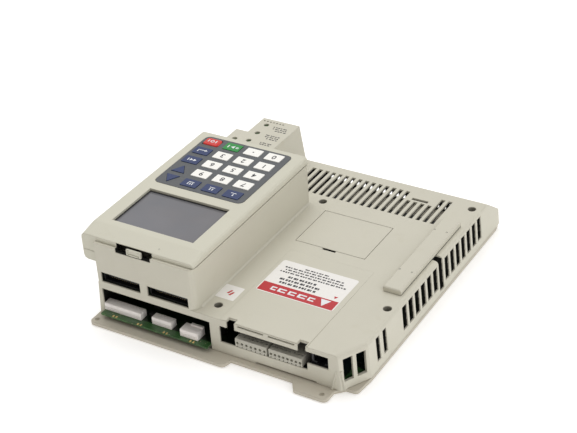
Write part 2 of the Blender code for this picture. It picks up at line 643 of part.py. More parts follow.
def make_screws():
    """Round-headed screws standing on the bosses' floors, each with a cross recess."""
    steel = make_material("screw_steel", STEEL, 0.35, 1.0)
    floor = BOSS_Z + BOSS_FLOOR + GAP
    for index, (x, y) in enumerate(SCREW_XY, 1):
        bm = bmesh.new()
        profile = [(0.0, floor + SCREW_HEAD_H), (SCREW_HEAD_R * 0.7, floor + SCREW_HEAD_H),
                   (SCREW_HEAD_R, floor + SCREW_HEAD_H * 0.6), (SCREW_HEAD_R, floor),
                   (SCREW_SHANK_R, floor),
                   (SCREW_SHANK_R, floor - SCREW_L), (0.0, floor - SCREW_L - SCREW_SHANK_R)]
        verts = [bm.verts.new((x + radius, y, z)) for radius, z in profile]
        edges = [bm.edges.new(pair) for pair in zip(verts, verts[1:])]
        bmesh.ops.spin(bm, geom=verts + edges, cent=(x, y, 0.0), axis=(0.0, 0.0, 1.0), angle=2 * math.pi,
                       steps=12)
        bmesh.ops.remove_doubles(bm, verts=bm.verts, dist=0.00001)
        screw = add_object("housing_screw_%d" % index, bm, steel, (x, y, floor))
        arm, half = SCREW_HEAD_R * 0.55, 0.45 * MM
        top = floor + SCREW_HEAD_H
        for name, reach in (("x", (arm, half)), ("y", (half, arm))):
            cut(screw, box("screw_recess_%s_%d" % (name, index),
                           (x - reach[0], y - reach[1], top - 1.0 * MM),
                           (x + reach[0], y + reach[1], top + OVERRUN)))


# ---------------------------------------------------------------- keypad

KEYPAD_INNER_RIGHT = TOWER_W - WALL - GAP
OVERLAY_LOW = KEYPAD_Z - OVERLAY_T
KEY_TOP = KEYPAD_Z + KEY_PROUD
KEY_SKIRT_TOP = OVERLAY_LOW - GAP / 2
KEY_LOW = KEY_SKIRT_TOP - KEY_SKIRT_T
BOARD_TOP = KEY_LOW - KEY_TRAVEL - GAP
GLASS_TOP = KEYPAD_Z - KEYPAD_WALL - GAP

KEY_ROWS = (
    ("key_0", "key_point", "key_run", "key_stop"),
    ("key_1", "key_2", "key_3", "key_enter"),
    ("key_4", "key_5", "key_6", "key_escape"),
    ("key_7", "key_8", "key_9", "key_down"),
    ("key_f1", "key_f2", "key_f3", "key_up"))
KEY_LOOKS = {
    "key_run": ("key_green", KEY_GREEN), "key_stop": ("key_red", KEY_RED),
    "key_enter": ("key_blue", KEY_BLUE),
    "key_escape": ("key_blue", KEY_BLUE), "key_down": ("key_blue", KEY_BLUE),
    "key_up": ("key_blue", KEY_BLUE),
    "key_f1": ("key_blue", KEY_BLUE), "key_f2": ("key_blue", KEY_BLUE), "key_f3": ("key_blue", KEY_BLUE)}


def key_outline(name, x, y, margin):
    """A key's outline: a rectangle, or for the two arrow keys a triangle."""
    if name in ("key_up", "key_down"):
        tip = -1.0 if name == "key_up" else 1.0
        middle = y - tip * ARROW_R / 4
        radius = ARROW_R + 2 * margin
        points = []
        for step in range(3):
            angle = math.radians(90.0 * tip + 120.0 * step)
            points.append((x + radius * math.cos(angle), middle + radius * math.sin(angle), 0.0))
        return points
    half_w, half_d = KEY_W / 2 + margin, KEY_D / 2 + margin
    return rectangle((x - half_w, x + half_w), (y - half_d, y + half_d), KEY_CORNER_R)


def key_places():
    for row, names in enumerate(KEY_ROWS):
        for column, name in enumerate(names):
            yield name, KEY_COLUMNS[column], KEY_FAR_Y - KEY_ROW_PITCH * row


def make_key(name, x, y):
    """A key cap with a wider skirt below the overlay, which keeps it in."""
    look, colour = KEY_LOOKS.get(name, ("key_white", OFF_WHITE))
    finish = make_material(look, colour, 0.4)
    bm = outline_bmesh(key_points(name, x, y, KEY_SKIRT), KEY_LOW, KEY_SKIRT_TOP)
    top = max(bm.faces, key=lambda face: face.calc_center_median().z)
    bmesh.ops.inset_region(bm, faces=[top], thickness=KEY_SKIRT, use_even_offset=True)
    raised = bmesh.ops.extrude_face_region(bm, geom=[top])
    bmesh.ops.delete(bm, geom=[top], context='FACES_ONLY')
    lifted = [item for item in raised["geom"] if isinstance(item, bmesh.types.BMVert)]
    bmesh.ops.translate(bm, verts=lifted, vec=(0.0, 0.0, KEY_TOP - KEY_SKIRT_TOP))
    if name == "key_stop":
        crown = [item for item in raised["geom"] if isinstance(item, bmesh.types.BMFace)]
        bmesh.ops.inset_region(bm, faces=crown, thickness=STOP_BEVEL, depth=KEY_PROUD)
    return add_object(name, bm, finish, (x, y, KEY_LOW))


def key_points(name, x, y, margin):
    return rounded_outline(key_outline(name, x, y, margin))


def make_overlay():
    film = make_material("overlay_film", DARK_GREY, 0.45)
    overlay = plate("key_overlay", rectangle(OVERLAY_X, OVERLAY_Y, OVERLAY_R), OVERLAY_LOW,
                    KEYPAD_Z + GAP / 2, film)
    for name, x, y in key_places():
        hole = outline_bmesh(key_points(name, x, y, GAP), OVERLAY_LOW - OVERRUN, KEY_TOP + OVERRUN)
        cut(overlay, add_object("hole_" + name, hole, None, (x, y, OVERLAY_LOW)))
    return overlay


def make_front_shell():
    plastic = make_material("keypad_plastic", KEYPAD_GREY, 0.45)
    bm = bmesh.new()
    add_cube(bm, (KEYPAD_LEFT, KEYPAD_NEAR, PARTING_Z), (TOWER_W, KEYPAD_FAR, KEYPAD_Z))
    slope = Vector((0.0, -CREASE_DROP, CREASE_Y - KEYPAD_NEAR)).normalized()
    slice_off(bm, Vector((0.0, CREASE_Y, KEYPAD_Z)), slope)
    top = KEYPAD_Z - CREASE_DROP - OVERRUN
    middle = (KEYPAD_LEFT + TOWER_W) / 2
    straight = (TOWER_W - KEYPAD_LEFT) / 2 - KEYPAD_EDGE_R + GAP
    for side in (-1.0, 1.0):
        bevel_edges(bm, lambda co: co.z > top and (co.x - middle) * side > straight, KEYPAD_EDGE_R, 3)
    bevel_edges(bm, lambda co: co.z > top and co.y < KEYPAD_NEAR + GAP and abs(co.x - middle) < straight,
                KEYPAD_LIP_R, 2)
    shell = add_object("keypad_front_shell", bm, plastic,
                       ((KEYPAD_LEFT + TOWER_W) / 2, KEYPAD_NEAR, PARTING_Z))
    cut(shell, box("rim_step", (KEYPAD_INNER_RIGHT, KEYPAD_NEAR - OVERRUN, PARTING_Z - OVERRUN),
                   (TOWER_W + OVERRUN, KEYPAD_FAR + OVERRUN, RIM_Z + RIM_REVEAL)))
    cut(shell, box("front_shell_hollow",
                   (KEYPAD_LEFT + KEYPAD_WALL, KEYPAD_NEAR + KEYPAD_WALL, PARTING_Z - OVERRUN),
                   (KEYPAD_INNER_RIGHT - KEYPAD_WALL, CREASE_Y, KEYPAD_Z - KEYPAD_WALL - CREASE_DROP)))
    cut(shell, box("front_shell_main_hollow",
                   (KEYPAD_LEFT + KEYPAD_WALL, CREASE_Y - OVERRUN, PARTING_Z - OVERRUN),
                   (KEYPAD_INNER_RIGHT - KEYPAD_WALL, KEYPAD_FAR - KEYPAD_WALL, KEYPAD_Z - KEYPAD_WALL)))
    cut(shell, box("lcd_cut", (LCD_X[0], LCD_Y[0], GLASS_TOP), (LCD_X[1], LCD_Y[1], KEYPAD_Z + OVERRUN)))
    wide = [(OVERLAY_X[0] - GAP, OVERLAY_X[1] + GAP), (OVERLAY_Y[0] - GAP, OVERLAY_Y[1] + GAP)]
    cut(shell, plate("overlay_seat", rectangle(*wide, OVERLAY_R), OVERLAY_LOW - GAP, KEYPAD_Z + OVERRUN))
    side = KEY_W / 2 + KEY_SKIRT + KEY_FIELD_GAP
    near = KEY_FAR_Y - KEY_ROW_PITCH * (len(KEY_ROWS) - 1) - 0.75 * ARROW_R - 2 * KEY_SKIRT - KEY_FIELD_GAP
    far = KEY_FAR_Y + KEY_D / 2 + KEY_SKIRT + KEY_FIELD_GAP
    cut(shell, box("key_field_cut", (min(KEY_COLUMNS) - side, near, GLASS_TOP),
                   (max(KEY_COLUMNS) + side, far, KEYPAD_Z)))
    cut(shell, box("latch_pocket_cut", (LATCH_POCKET_X[0], KEYPAD_NEAR - OVERRUN, LATCH_POCKET_Z[0]),
                   (LATCH_POCKET_X[1], KEYPAD_NEAR + 2 * KEYPAD_WALL, LATCH_POCKET_Z[1])))
    return shell


def make_rear_shell():
    plastic = make_material("keypad_plastic", KEYPAD_GREY, 0.45)
    low, high = CRADLE_Z + GAP, PARTING_Z - GAP
    shell = box("keypad_rear_shell", (KEYPAD_LEFT, KEYPAD_NEAR, low),
                (KEYPAD_INNER_RIGHT, KEYPAD_FAR, high), plastic,
                bevel=KEYPAD_EDGE_R, picks=lambda co: co.z < low + OVERRUN and co.x < 0.0, segments=2)
    cut(shell, box("rear_shell_hollow",
                   (KEYPAD_LEFT + KEYPAD_EDGE_R, KEYPAD_NEAR + KEYPAD_WALL, low + KEYPAD_WALL),
                   (KEYPAD_INNER_RIGHT - KEYPAD_WALL, KEYPAD_FAR - KEYPAD_WALL, high + OVERRUN)))
    cut(shell, box("plug_way", (32.0 * MM, 120.0 * MM, low - OVERRUN),
                   (54.0 * MM, 128.0 * MM, low + 2 * KEYPAD_WALL)))
    return shell


def make_keypad_insides():
    glass = make_material("lcd_glass", LCD_GREY, 0.12)
    low = GLASS_TOP - LCD_GLASS_T
    box("lcd_window", (LCD_X[0] - LCD_MARGIN, LCD_Y[0] - LCD_MARGIN, low),
        (LCD_X[1] + LCD_MARGIN, LCD_Y[1] + LCD_MARGIN, GLASS_TOP - GAP / 2), glass)
    metal = make_material("lcd_frame_metal", STEEL, 0.4, 1.0)
    module_top = low - GAP
    module = box("lcd_module", (LCD_X[0] - LCD_MARGIN, LCD_Y[0] - LCD_MARGIN, module_top - LCD_MODULE_T),
                 (LCD_X[1] + LCD_MARGIN, LCD_Y[1] + LCD_MARGIN, module_top), metal)
    cut(module, box("lcd_module_window", (LCD_X[0] + LCD_MARGIN, LCD_Y[0] + LCD_MARGIN,
                                          module_top - 1.0 * MM),
                    (LCD_X[1] - LCD_MARGIN, LCD_Y[1] - LCD_MARGIN, module_top + OVERRUN)))
    laminate = make_material("board_laminate", BOARD_GREEN, 0.4)
    box("keypad_board", (OVERLAY_X[0] - 4.0 * MM, LCD_Y[1] + 6.0 * MM, BOARD_TOP - KEYPAD_BOARD_T),
        (OVERLAY_X[1] + 4.0 * MM, KEYPAD_FAR - 2 * KEYPAD_WALL, BOARD_TOP), laminate)
    black = make_material("connector_black", BLACK, 0.4)
    plug_top = BOARD_TOP - KEYPAD_BOARD_T - GAP
    plug = box("keypad_plug", (33.0 * MM, 121.0 * MM, CRADLE_Z + 3.0 * MM),
               (53.0 * MM, 127.0 * MM, plug_top), black)
    fuse(plug, box("keypad_plug_blade", (35.0 * MM, 123.2 * MM, CRADLE_Z - 3.0 * MM),
                   (51.0 * MM, 124.8 * MM, CRADLE_Z + 4.0 * MM)))


def make_keypad():
    make_front_shell()
    make_rear_shell()
    make_overlay()
    for name, x, y in key_places():
        make_key(name, x, y)
    make_keypad_insides()


def make_latch():
    plastic = make_material("keypad_plastic", KEYPAD_GREY, 0.45)
    y_low = GAP
    low = (LATCH_X[0], y_low, LATCH_POCKET_Z[0] + GAP)
    return box("keypad_latch", low, (LATCH_X[1], y_low + LATCH_T, LATCH_TOP), plastic,
               bevel=0.4 * MM, picks=lambda co: co.z > LATCH_TOP - OVERRUN, segments=1)


# ---------------------------------------------------------------- boards and connectors

def make_main_board():
    laminate = make_material("board_laminate", BOARD_GREEN, 0.4)
    near = WALL + 2 * GAP
    right = BODY_RIGHT - WALL - COVER_DRAFT
    cut_x, cut_y = CORNER_CUT
    outline = [
        (BAY_X[0] + GAP, MAIN_BOARD_NEAR, 0.0), (BAY_X[1] - GAP, MAIN_BOARD_NEAR, 0.0),
        (BAY_X[1] - GAP, near, 0.0), (right - cut_x, near, 0.0), (right, near + cut_y, 0.0),
        (right, MAIN_BOARD_FAR, 0.0), (BAY_X[0] + GAP, MAIN_BOARD_FAR, 0.0)]
    board = plate("main_board", outline, MAIN_BOARD_Z, MAIN_BOARD_Z + BOARD_T, laminate)
    span = (MAIN_BOARD_Z - OVERRUN, MAIN_BOARD_Z + BOARD_T + OVERRUN)
    cut(board, rods("board_screw_holes", SCREW_XY, POST_R + GAP, *span, segments=16))
    cut(board, rods("board_post_holes", BOARD_POSTS, BOARD_POST_R + GAP, *span, segments=16))
    left = BODY_RIGHT - RECESS_DEPTH - COVER_DRAFT - RECESS_WALL - 2 * GAP
    cut(board, box("board_recess_notch", (left, RECESS_Y[0] - RECESS_WALL - GAP, span[0]),
                   (BODY_RIGHT, RECESS_Y[1] + RECESS_WALL + GAP, span[1])))
    return board


def make_upper_board():
    laminate = make_material("board_laminate", BOARD_GREEN, 0.4)
    return box("upper_board", (WALL + 2 * GAP, WALL + 2 * GAP, UPPER_BOARD_Z),
               (TOWER_W - WALL - 2 * GAP, UPPER_BOARD_FAR, UPPER_BOARD_Z + BOARD_T), laminate)


MAIN_TOP = MAIN_BOARD_Z + BOARD_T + GAP
UPPER_TOP = UPPER_BOARD_Z + BOARD_T + GAP


def make_headers():
    """White plug housings along the near edge of the main board, with a keying groove in front."""
    nylon = make_material("header_nylon", CONNECTOR_WHITE, 0.5)
    for name, left, right, near in HEADERS:
        low = (left * MM, near * MM, MAIN_TOP)
        high = (right * MM, HEADER_FAR, MAIN_TOP + HEADER_H)
        header = box(name, low, high, nylon, bevel=0.5 * MM, picks=lambda co: co.z > MAIN_TOP + OVERRUN,
                     segments=1)
        groove = MAIN_TOP + HEADER_H * HEADER_GROOVE
        cut(header, box(name + "_groove", (low[0] - OVERRUN, low[1] - OVERRUN, groove),
                        (high[0] + OVERRUN, low[1] + HEADER_GROOVE_W, groove + HEADER_GROOVE_W)))


def make_port_headers():
    """Black socket headers on the upper board, behind the two upper slots."""
    black = make_material("connector_black", BLACK, 0.4)
    for name, (left, right) in zip(("port_socket_left", "port_socket_right"), PORTS_X):
        low = (left + GAP, WALL + 2 * GAP, UPPER_TOP)
        high = (right - GAP, WALL + PORT_HEADER_L, PORT_Z[1] - GAP)
        header = box(name, low, high, black)
        wall = 1.3 * MM
        cut(header, box(name + "_cavity", (low[0] + wall, low[1] - OVERRUN, low[2] + wall),
                        (high[0] - wall, high[1] - 3 * wall, high[2] - wall)))


def make_terminals():
    """Pluggable screw terminals: a plug that slides out of a fixed socket with pins."""
    grey = make_material("terminal_grey", TERMINAL_GREY, 0.5)
    floor = TERMINAL_Z[0] + GAP
    for name, left, right, ways in PLUGS:
        low = (left * MM, PLUG_NEAR, floor)
        high = (right * MM, PLUG_FAR, floor + PLUG_H)
        plug = box(name, low, high, grey, bevel=0.7 * MM, picks=lambda co: co.z > floor + OVERRUN,
                   segments=1)
        pitch = (high[0] - low[0]) / ways
        entries = []
        for way in range(ways):
            x = low[0] + pitch * (way + 0.5)
            entries.append(((x - 1.1 * MM, low[1] - OVERRUN, floor + 2.2 * MM),
                            (x + 1.1 * MM, low[1] + 3.5 * MM, floor + 4.8 * MM)))
        cut(plug, boxes(name + "_entries", entries))
        middle = floor + PLUG_H * 0.45
        cut(plug, box(name + "_pin_way", (low[0] + 1.0 * MM, high[1] - 5.0 * MM, middle - 1.1 * MM),
                      (high[0] - 1.0 * MM, high[1] + OVERRUN, middle + 1.1 * MM)))
        socket_name = name.replace("plug", "socket")
        socket = box(socket_name, (low[0], PLUG_FAR + GAP, MAIN_TOP),
                     (high[0], PLUG_FAR + SOCKET_L, floor + PLUG_H), grey)
        pins = []
        for way in range(ways):
            x = low[0] + pitch * (way + 0.5)
            pins.append(((x - 0.5 * MM, high[1] - 4.0 * MM, middle - 0.5 * MM),
                         (x + 0.5 * MM, high[1] + 2.0 * MM, middle + 0.5 * MM)))
        fuse(socket, boxes(socket_name + "_pins", pins))


def make_jack():
    black = make_material("connector_black", BLACK, 0.4)
    near = WALL + 2 * GAP
    jack = box("serial_jack", (JACK_X[0], near, MAIN_TOP),
               (JACK_X[1], near + JACK_L, JACK_BAY_Z[1] - GAP), black)
    cut(jack, box("jack_cavity", (JACK_X[0] + 1.6 * MM, near - OVERRUN, JACK_BAY_Z[0] + 1.6 * MM),
                  (JACK_X[1] - 1.6 * MM, near + JACK_L - 4.0 * MM, JACK_BAY_Z[1] - 2.0 * MM)))
    return jack


def make_keypad_socket():
    black = make_material("connector_black", BLACK, 0.4)
    socket = box("keypad_socket", (32.0 * MM, 120.2 * MM, UPPER_TOP), (54.0 * MM, 127.8 * MM, CRADLE_Z),
                 black)
    cut(socket, box("keypad_socket_slot", (34.5 * MM, 122.7 * MM, CRADLE_Z - 6.0 * MM),
                    (51.5 * MM, 125.3 * MM, CRADLE_Z + OVERRUN)))


# ---------------------------------------------------------------- power parts and chips

def make_capacitors():
    """Two bus capacitors lying along Y below the upper board."""
    sleeve = make_material("capacitor_sleeve", (0.02, 0.03, 0.06), 0.35)
    radius, length = 10.8 * MM, 42.0 * MM
    for index, inset in enumerate(CAPACITOR_INSETS, 1):
        x = TOWER_W - inset
        bm = bmesh.new()
        turn = Matrix.Translation((x, 78.0 * MM, MAIN_TOP + radius)) @ Matrix.Rotation(math.pi / 2, 4, 'X')
        bmesh.ops.create_cone(bm, cap_ends=True, segments=20, radius1=radius, radius2=radius,
                              depth=length, matrix=turn)
        smooth(add_object("bus_capacitor_%d" % index, bm, sleeve, (x, 78.0 * MM, MAIN_TOP + radius)))


def make_transformer():
    """A ferrite block with a window at each end for its winding."""
    ferrite = make_material("ferrite", (0.05, 0.045, 0.045), 0.6)
    low, high = Vector((122.0 * MM, 30.0 * MM, MAIN_TOP)), Vector((152.0 * MM, 58.0 * MM,
                                                                   MAIN_TOP + 21.0 * MM))
    core = box("power_transformer", low, high, ferrite)
    side = 8.0 * MM
    for name, y0, y1 in (("near", low.y - OVERRUN, low.y + 6.0 * MM),
                         ("far", high.y - 6.0 * MM, high.y + OVERRUN)):
        cut(core, box("core_window_" + name, (low.x + side, y0, low.z + 4.0 * MM),
                      (high.x - side, y1, high.z - 4.0 * MM)))


def make_power_stage():
    black = make_material("connector_black", BLACK, 0.4)
    bare = make_material("bare_aluminium", ALUMINIUM, 0.35, 1.0)
    x0, x1, y0, y1 = 116.0 * MM, 168.0 * MM, 68.0 * MM, 106.0 * MM
    module_top = MAIN_TOP + 9.0 * MM
    box("power_module", (x0, y0, MAIN_TOP), (x1, y1, module_top), black)
    sink_low = module_top + GAP
    sink_high = COVER_Z - WALL - 1.5 * MM
    sink = box("heat_sink", (x0, y0, sink_low), (x1, y1, sink_high), bare)
    fins = 9
    pitch = (x1 - x0) / fins
    channels = []
    for index in range(fins - 1):
        centre = x0 + pitch * (index + 1)
        channels.append(((centre - pitch * 0.28, y0 - OVERRUN, sink_low + 3.0 * MM),
                         (centre + pitch * 0.28, y1 + OVERRUN, sink_high + OVERRUN)))
    cut(sink, boxes("fin_channels", channels))


def make_small_parts():
    black = make_material("connector_black", BLACK, 0.4)
    relay = make_material("relay_case", (0.04, 0.10, 0.22), 0.35)
    box("brake_relay", (184.0 * MM, 28.0 * MM, MAIN_TOP), (200.0 * MM, 56.0 * MM, MAIN_TOP + 15.5 * MM),
        relay)
    box("processor", (118.0 * MM, 186.0 * MM, MAIN_TOP), (146.0 * MM, 214.0 * MM, MAIN_TOP + 3.4 * MM),
        black)
    box("memory_chip", (120.0 * MM, 134.0 * MM, MAIN_TOP), (157.0 * MM, 148.0 * MM, MAIN_TOP + 8.0 * MM),
        black)
    link_right = TOWER_W - LINK_INSET
    box("board_link", (link_right - LINK_SIZE[0], LINK_NEAR, MAIN_TOP),
        (link_right, LINK_NEAR + LINK_SIZE[1], UPPER_BOARD_Z - GAP), black)


def make_indicator_board():
    """A small board below the status holes, with one lamp reaching up into each."""
    laminate = make_material("board_laminate", BOARD_GREEN, 0.4)
    top = BLOCK_Z - 3 * WALL
    near = KEYPAD_FAR + 2 * WALL
    outline = [
        (STEP_LEFT + 2 * WALL, near, 0.0), (BLOCK_RIGHT - 2 * BLOCK_DRAFT, near, 0.0),
        (BLOCK_RIGHT - 2 * BLOCK_DRAFT, BLOCK_FAR - 2 * WALL, 0.0),
        (BLOCK_LEFT + WALL, BLOCK_FAR - 2 * WALL, 0.0),
        (BLOCK_LEFT + WALL, STEP_FAR - 2 * WALL, 0.0), (STEP_LEFT + 2 * WALL, STEP_FAR - 2 * WALL, 0.0)]
    board = plate("indicator_board", outline, top - BOARD_T, top, laminate)
    fuse(board, rods("lamps", STATUS_HOLES, STATUS_HOLE_R - 2 * GAP, top - BOARD_T / 2,
                     BLOCK_Z - WALL / 2, segments=12))
    return board


make_base_plate()
make_housing()
make_access_door()
make_expansion_cover()
make_screws()
make_keypad()
make_latch()
make_main_board()
make_upper_board()
make_headers()
make_port_headers()
make_terminals()
make_jack()
make_keypad_socket()
make_capacitors()
make_transformer()
make_power_stage()
make_small_parts()
make_indicator_board()
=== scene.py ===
"""Surface and detail of a servo drive with its plug-in keypad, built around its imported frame.

The layout follows an add-on: the sizes and colours a user would change are properties, and each
operator makes one piece, or one group of like pieces, in the place its CAD neighbours give.
"""

import math

import bmesh
import bpy
from mathutils import Euler, Matrix, Vector


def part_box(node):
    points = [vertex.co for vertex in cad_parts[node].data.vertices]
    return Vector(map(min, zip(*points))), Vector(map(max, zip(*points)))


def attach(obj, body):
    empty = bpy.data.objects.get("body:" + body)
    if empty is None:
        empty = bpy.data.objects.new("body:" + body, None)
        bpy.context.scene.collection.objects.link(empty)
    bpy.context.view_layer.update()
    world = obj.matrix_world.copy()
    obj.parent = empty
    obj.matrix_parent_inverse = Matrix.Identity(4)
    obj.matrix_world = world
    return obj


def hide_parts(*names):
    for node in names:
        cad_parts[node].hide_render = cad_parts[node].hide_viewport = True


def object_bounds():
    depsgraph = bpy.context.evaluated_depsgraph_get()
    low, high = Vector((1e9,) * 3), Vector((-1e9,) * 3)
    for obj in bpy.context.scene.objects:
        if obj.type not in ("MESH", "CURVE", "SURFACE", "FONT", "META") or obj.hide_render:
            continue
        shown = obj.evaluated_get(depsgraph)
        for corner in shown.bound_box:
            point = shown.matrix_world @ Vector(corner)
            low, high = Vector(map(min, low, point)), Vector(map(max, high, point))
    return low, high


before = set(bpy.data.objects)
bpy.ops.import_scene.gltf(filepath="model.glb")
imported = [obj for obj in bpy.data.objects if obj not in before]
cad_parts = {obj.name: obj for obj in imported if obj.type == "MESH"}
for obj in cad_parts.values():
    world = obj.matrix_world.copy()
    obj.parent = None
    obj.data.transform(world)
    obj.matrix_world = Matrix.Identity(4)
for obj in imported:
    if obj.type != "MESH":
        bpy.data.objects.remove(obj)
CAD_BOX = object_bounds()

bl_info = {
    "name": "Servo Drive Detail",
    "version": (1, 0, 0),
    "blender": (4, 5, 0),
    "location": "3D View > Sidebar > Servo Drive",
    "description": "Finishes, printed marks and connectors of a servo drive with a keypad",
    "category": "Object",
}

MM = 0.001
UP = Vector((0, 0, 1))
NEAR = Vector((0, -1, 0))
CORNER = CAD_BOX[0] + Vector((13.2, 14.0, 0)) * MM  # the tower's near left corner, on plan


def at(x, y, z):
    """A point given in millimetres from the tower's near left corner and the back plate."""
    return Vector((CORNER.x + x * MM, CORNER.y + y * MM, z * MM))


def top_of(node):
    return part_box(node)[1].z


# ---------------------------------------------------------------- modelling helpers


def deselect():
    bpy.ops.object.select_all(action="DESELECT")


def activate(obj):
    deselect()
    obj.select_set(True)
    bpy.context.view_layer.objects.active = obj


def settle(obj):
    """Puts an object's place and turn into its mesh."""
    activate(obj)
    bpy.ops.object.transform_apply(location=True, rotation=True, scale=True)
    return obj


def cube(name, low, high):
    """A box between two corners, with its place in its mesh."""
    low, high = Vector(low), Vector(high)
    deselect()
    bpy.ops.mesh.primitive_cube_add(size=1, location=(low + high) / 2)
    obj = bpy.context.object
    obj.name = obj.data.name = name
    obj.scale = high - low
    return settle(obj)


def cylinder(name, centre, radius, depth, axis=UP, sides=24):
    """A round bar about its centre, along an axis."""
    deselect()
    turn = Vector(axis).to_track_quat("Z", "Y").to_euler()
    bpy.ops.mesh.primitive_cylinder_add(
        vertices=sides, radius=radius, depth=depth, location=centre, rotation=turn
    )
    obj = bpy.context.object
    obj.name = obj.data.name = name
    return settle(obj)


def pick(obj, kind, test):
    """Selects the faces, edges or vertices of the edited mesh that pass a test."""
    mesh = bmesh.from_edit_mesh(obj.data)
    for part in (mesh.verts, mesh.edges, mesh.faces):
        for item in part:
            item.select = False
    chosen = [item for item in getattr(mesh, kind) if test(item)]
    for item in chosen:
        item.select = True
    mesh.select_flush_mode()
    bmesh.update_edit_mesh(obj.data)
    return len(chosen)


def shaped(obj, *steps):
    """Edits a mesh by hand: each step is (what to select, the test, the operator call)."""
    activate(obj)
    bpy.ops.object.mode_set(mode="EDIT")
    for kind, test, act in steps:
        mode = {"verts": "VERT", "edges": "EDGE", "faces": "FACE"}[kind]
        bpy.ops.mesh.select_mode(type=mode)
        if not pick(obj, kind, test):
            bpy.ops.object.mode_set(mode="OBJECT")
            raise RuntimeError(f"{obj.name}: a step found nothing to work on")
        act()
    bpy.ops.object.mode_set(mode="OBJECT")
    return obj


def facing(direction):
    return lambda face: face.normal.dot(Vector(direction)) > 0.99


def edge_middle(edge):
    return (edge.verts[0].co + edge.verts[1].co) / 2


def along(axis):
    """Edges that run along an axis."""
    axis = Vector(axis)

    def test(edge):
        way = edge.verts[1].co - edge.verts[0].co
        return way.length > 1e-7 and abs(way.normalized().dot(axis)) > 0.999

    return test


def bevel(width, segments=2):
    return lambda: bpy.ops.mesh.bevel(
        offset=width, segments=segments, affect="EDGES", clamp_overlap=True
    )


def inset(width, depth=0.0):
    return lambda: bpy.ops.mesh.inset(thickness=width, depth=depth)


def push(vector):
    return lambda: bpy.ops.mesh.extrude_region_move(
        TRANSFORM_OT_translate={"value": tuple(vector)}
    )


def move(vector):
    return lambda: bpy.ops.transform.translate(value=tuple(vector))


def round_edges(obj, width, segments=2, angle=40):
    """Rounds every sharp edge with an applied Bevel modifier."""
    activate(obj)
    mod = obj.modifiers.new("round", "BEVEL")
    mod.width = width
    mod.segments = segments
    mod.limit_method = "ANGLE"
    mod.angle_limit = math.radians(angle)
    bpy.ops.object.modifier_apply(modifier=mod.name)
    return obj


def walled(obj, thickness):
    """Gives an open skin a wall on its outer side."""
    activate(obj)
    mod = obj.modifiers.new("wall", "SOLIDIFY")
    mod.thickness = thickness
    mod.offset = 1.0
    bpy.ops.object.modifier_apply(modifier=mod.name)
    return obj


def cut(obj, cutter):
    activate(obj)
    mod = obj.modifiers.new("cut", "BOOLEAN")
    mod.operation = "DIFFERENCE"
    mod.object = cutter
    bpy.ops.object.modifier_apply(modifier=mod.name)
    bpy.data.objects.remove(cutter)
    return obj


def joined(name, objects):
    deselect()
    for obj in objects:
        obj.select_set(True)
    bpy.context.view_layer.objects.active = objects[0]
    bpy.ops.object.join()
    obj = bpy.context.object
    obj.name = obj.data.name = name
    return obj


def copied(obj, offset):
    """A copy with its own mesh, moved by an offset."""
    deselect()
    twin = obj.copy()
    twin.data = obj.data.copy()
    bpy.context.scene.collection.objects.link(twin)
    twin.location = Vector(offset)
    return settle(twin)


def row_of(name, first, offsets):
    """One shape repeated at offsets from the first, joined into one piece."""
    copies = [copied(first, offset) for offset in offsets]
    bpy.data.objects.remove(first)
    return joined(name, copies)


def done(obj, material, body, slot, *nodes, smooth=35):
    """Gives a piece its finish and its body, and hides the CAD nodes it stands for; the slot
    argument is not used.
    """
    activate(obj)
    if smooth:
        bpy.ops.object.shade_smooth_by_angle(angle=math.radians(smooth))
    obj.data.materials.clear()
    obj.data.materials.append(material)
    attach(obj, body)
    if nodes:
        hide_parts(*nodes)
    return obj


# ---------------------------------------------------------------- finishes


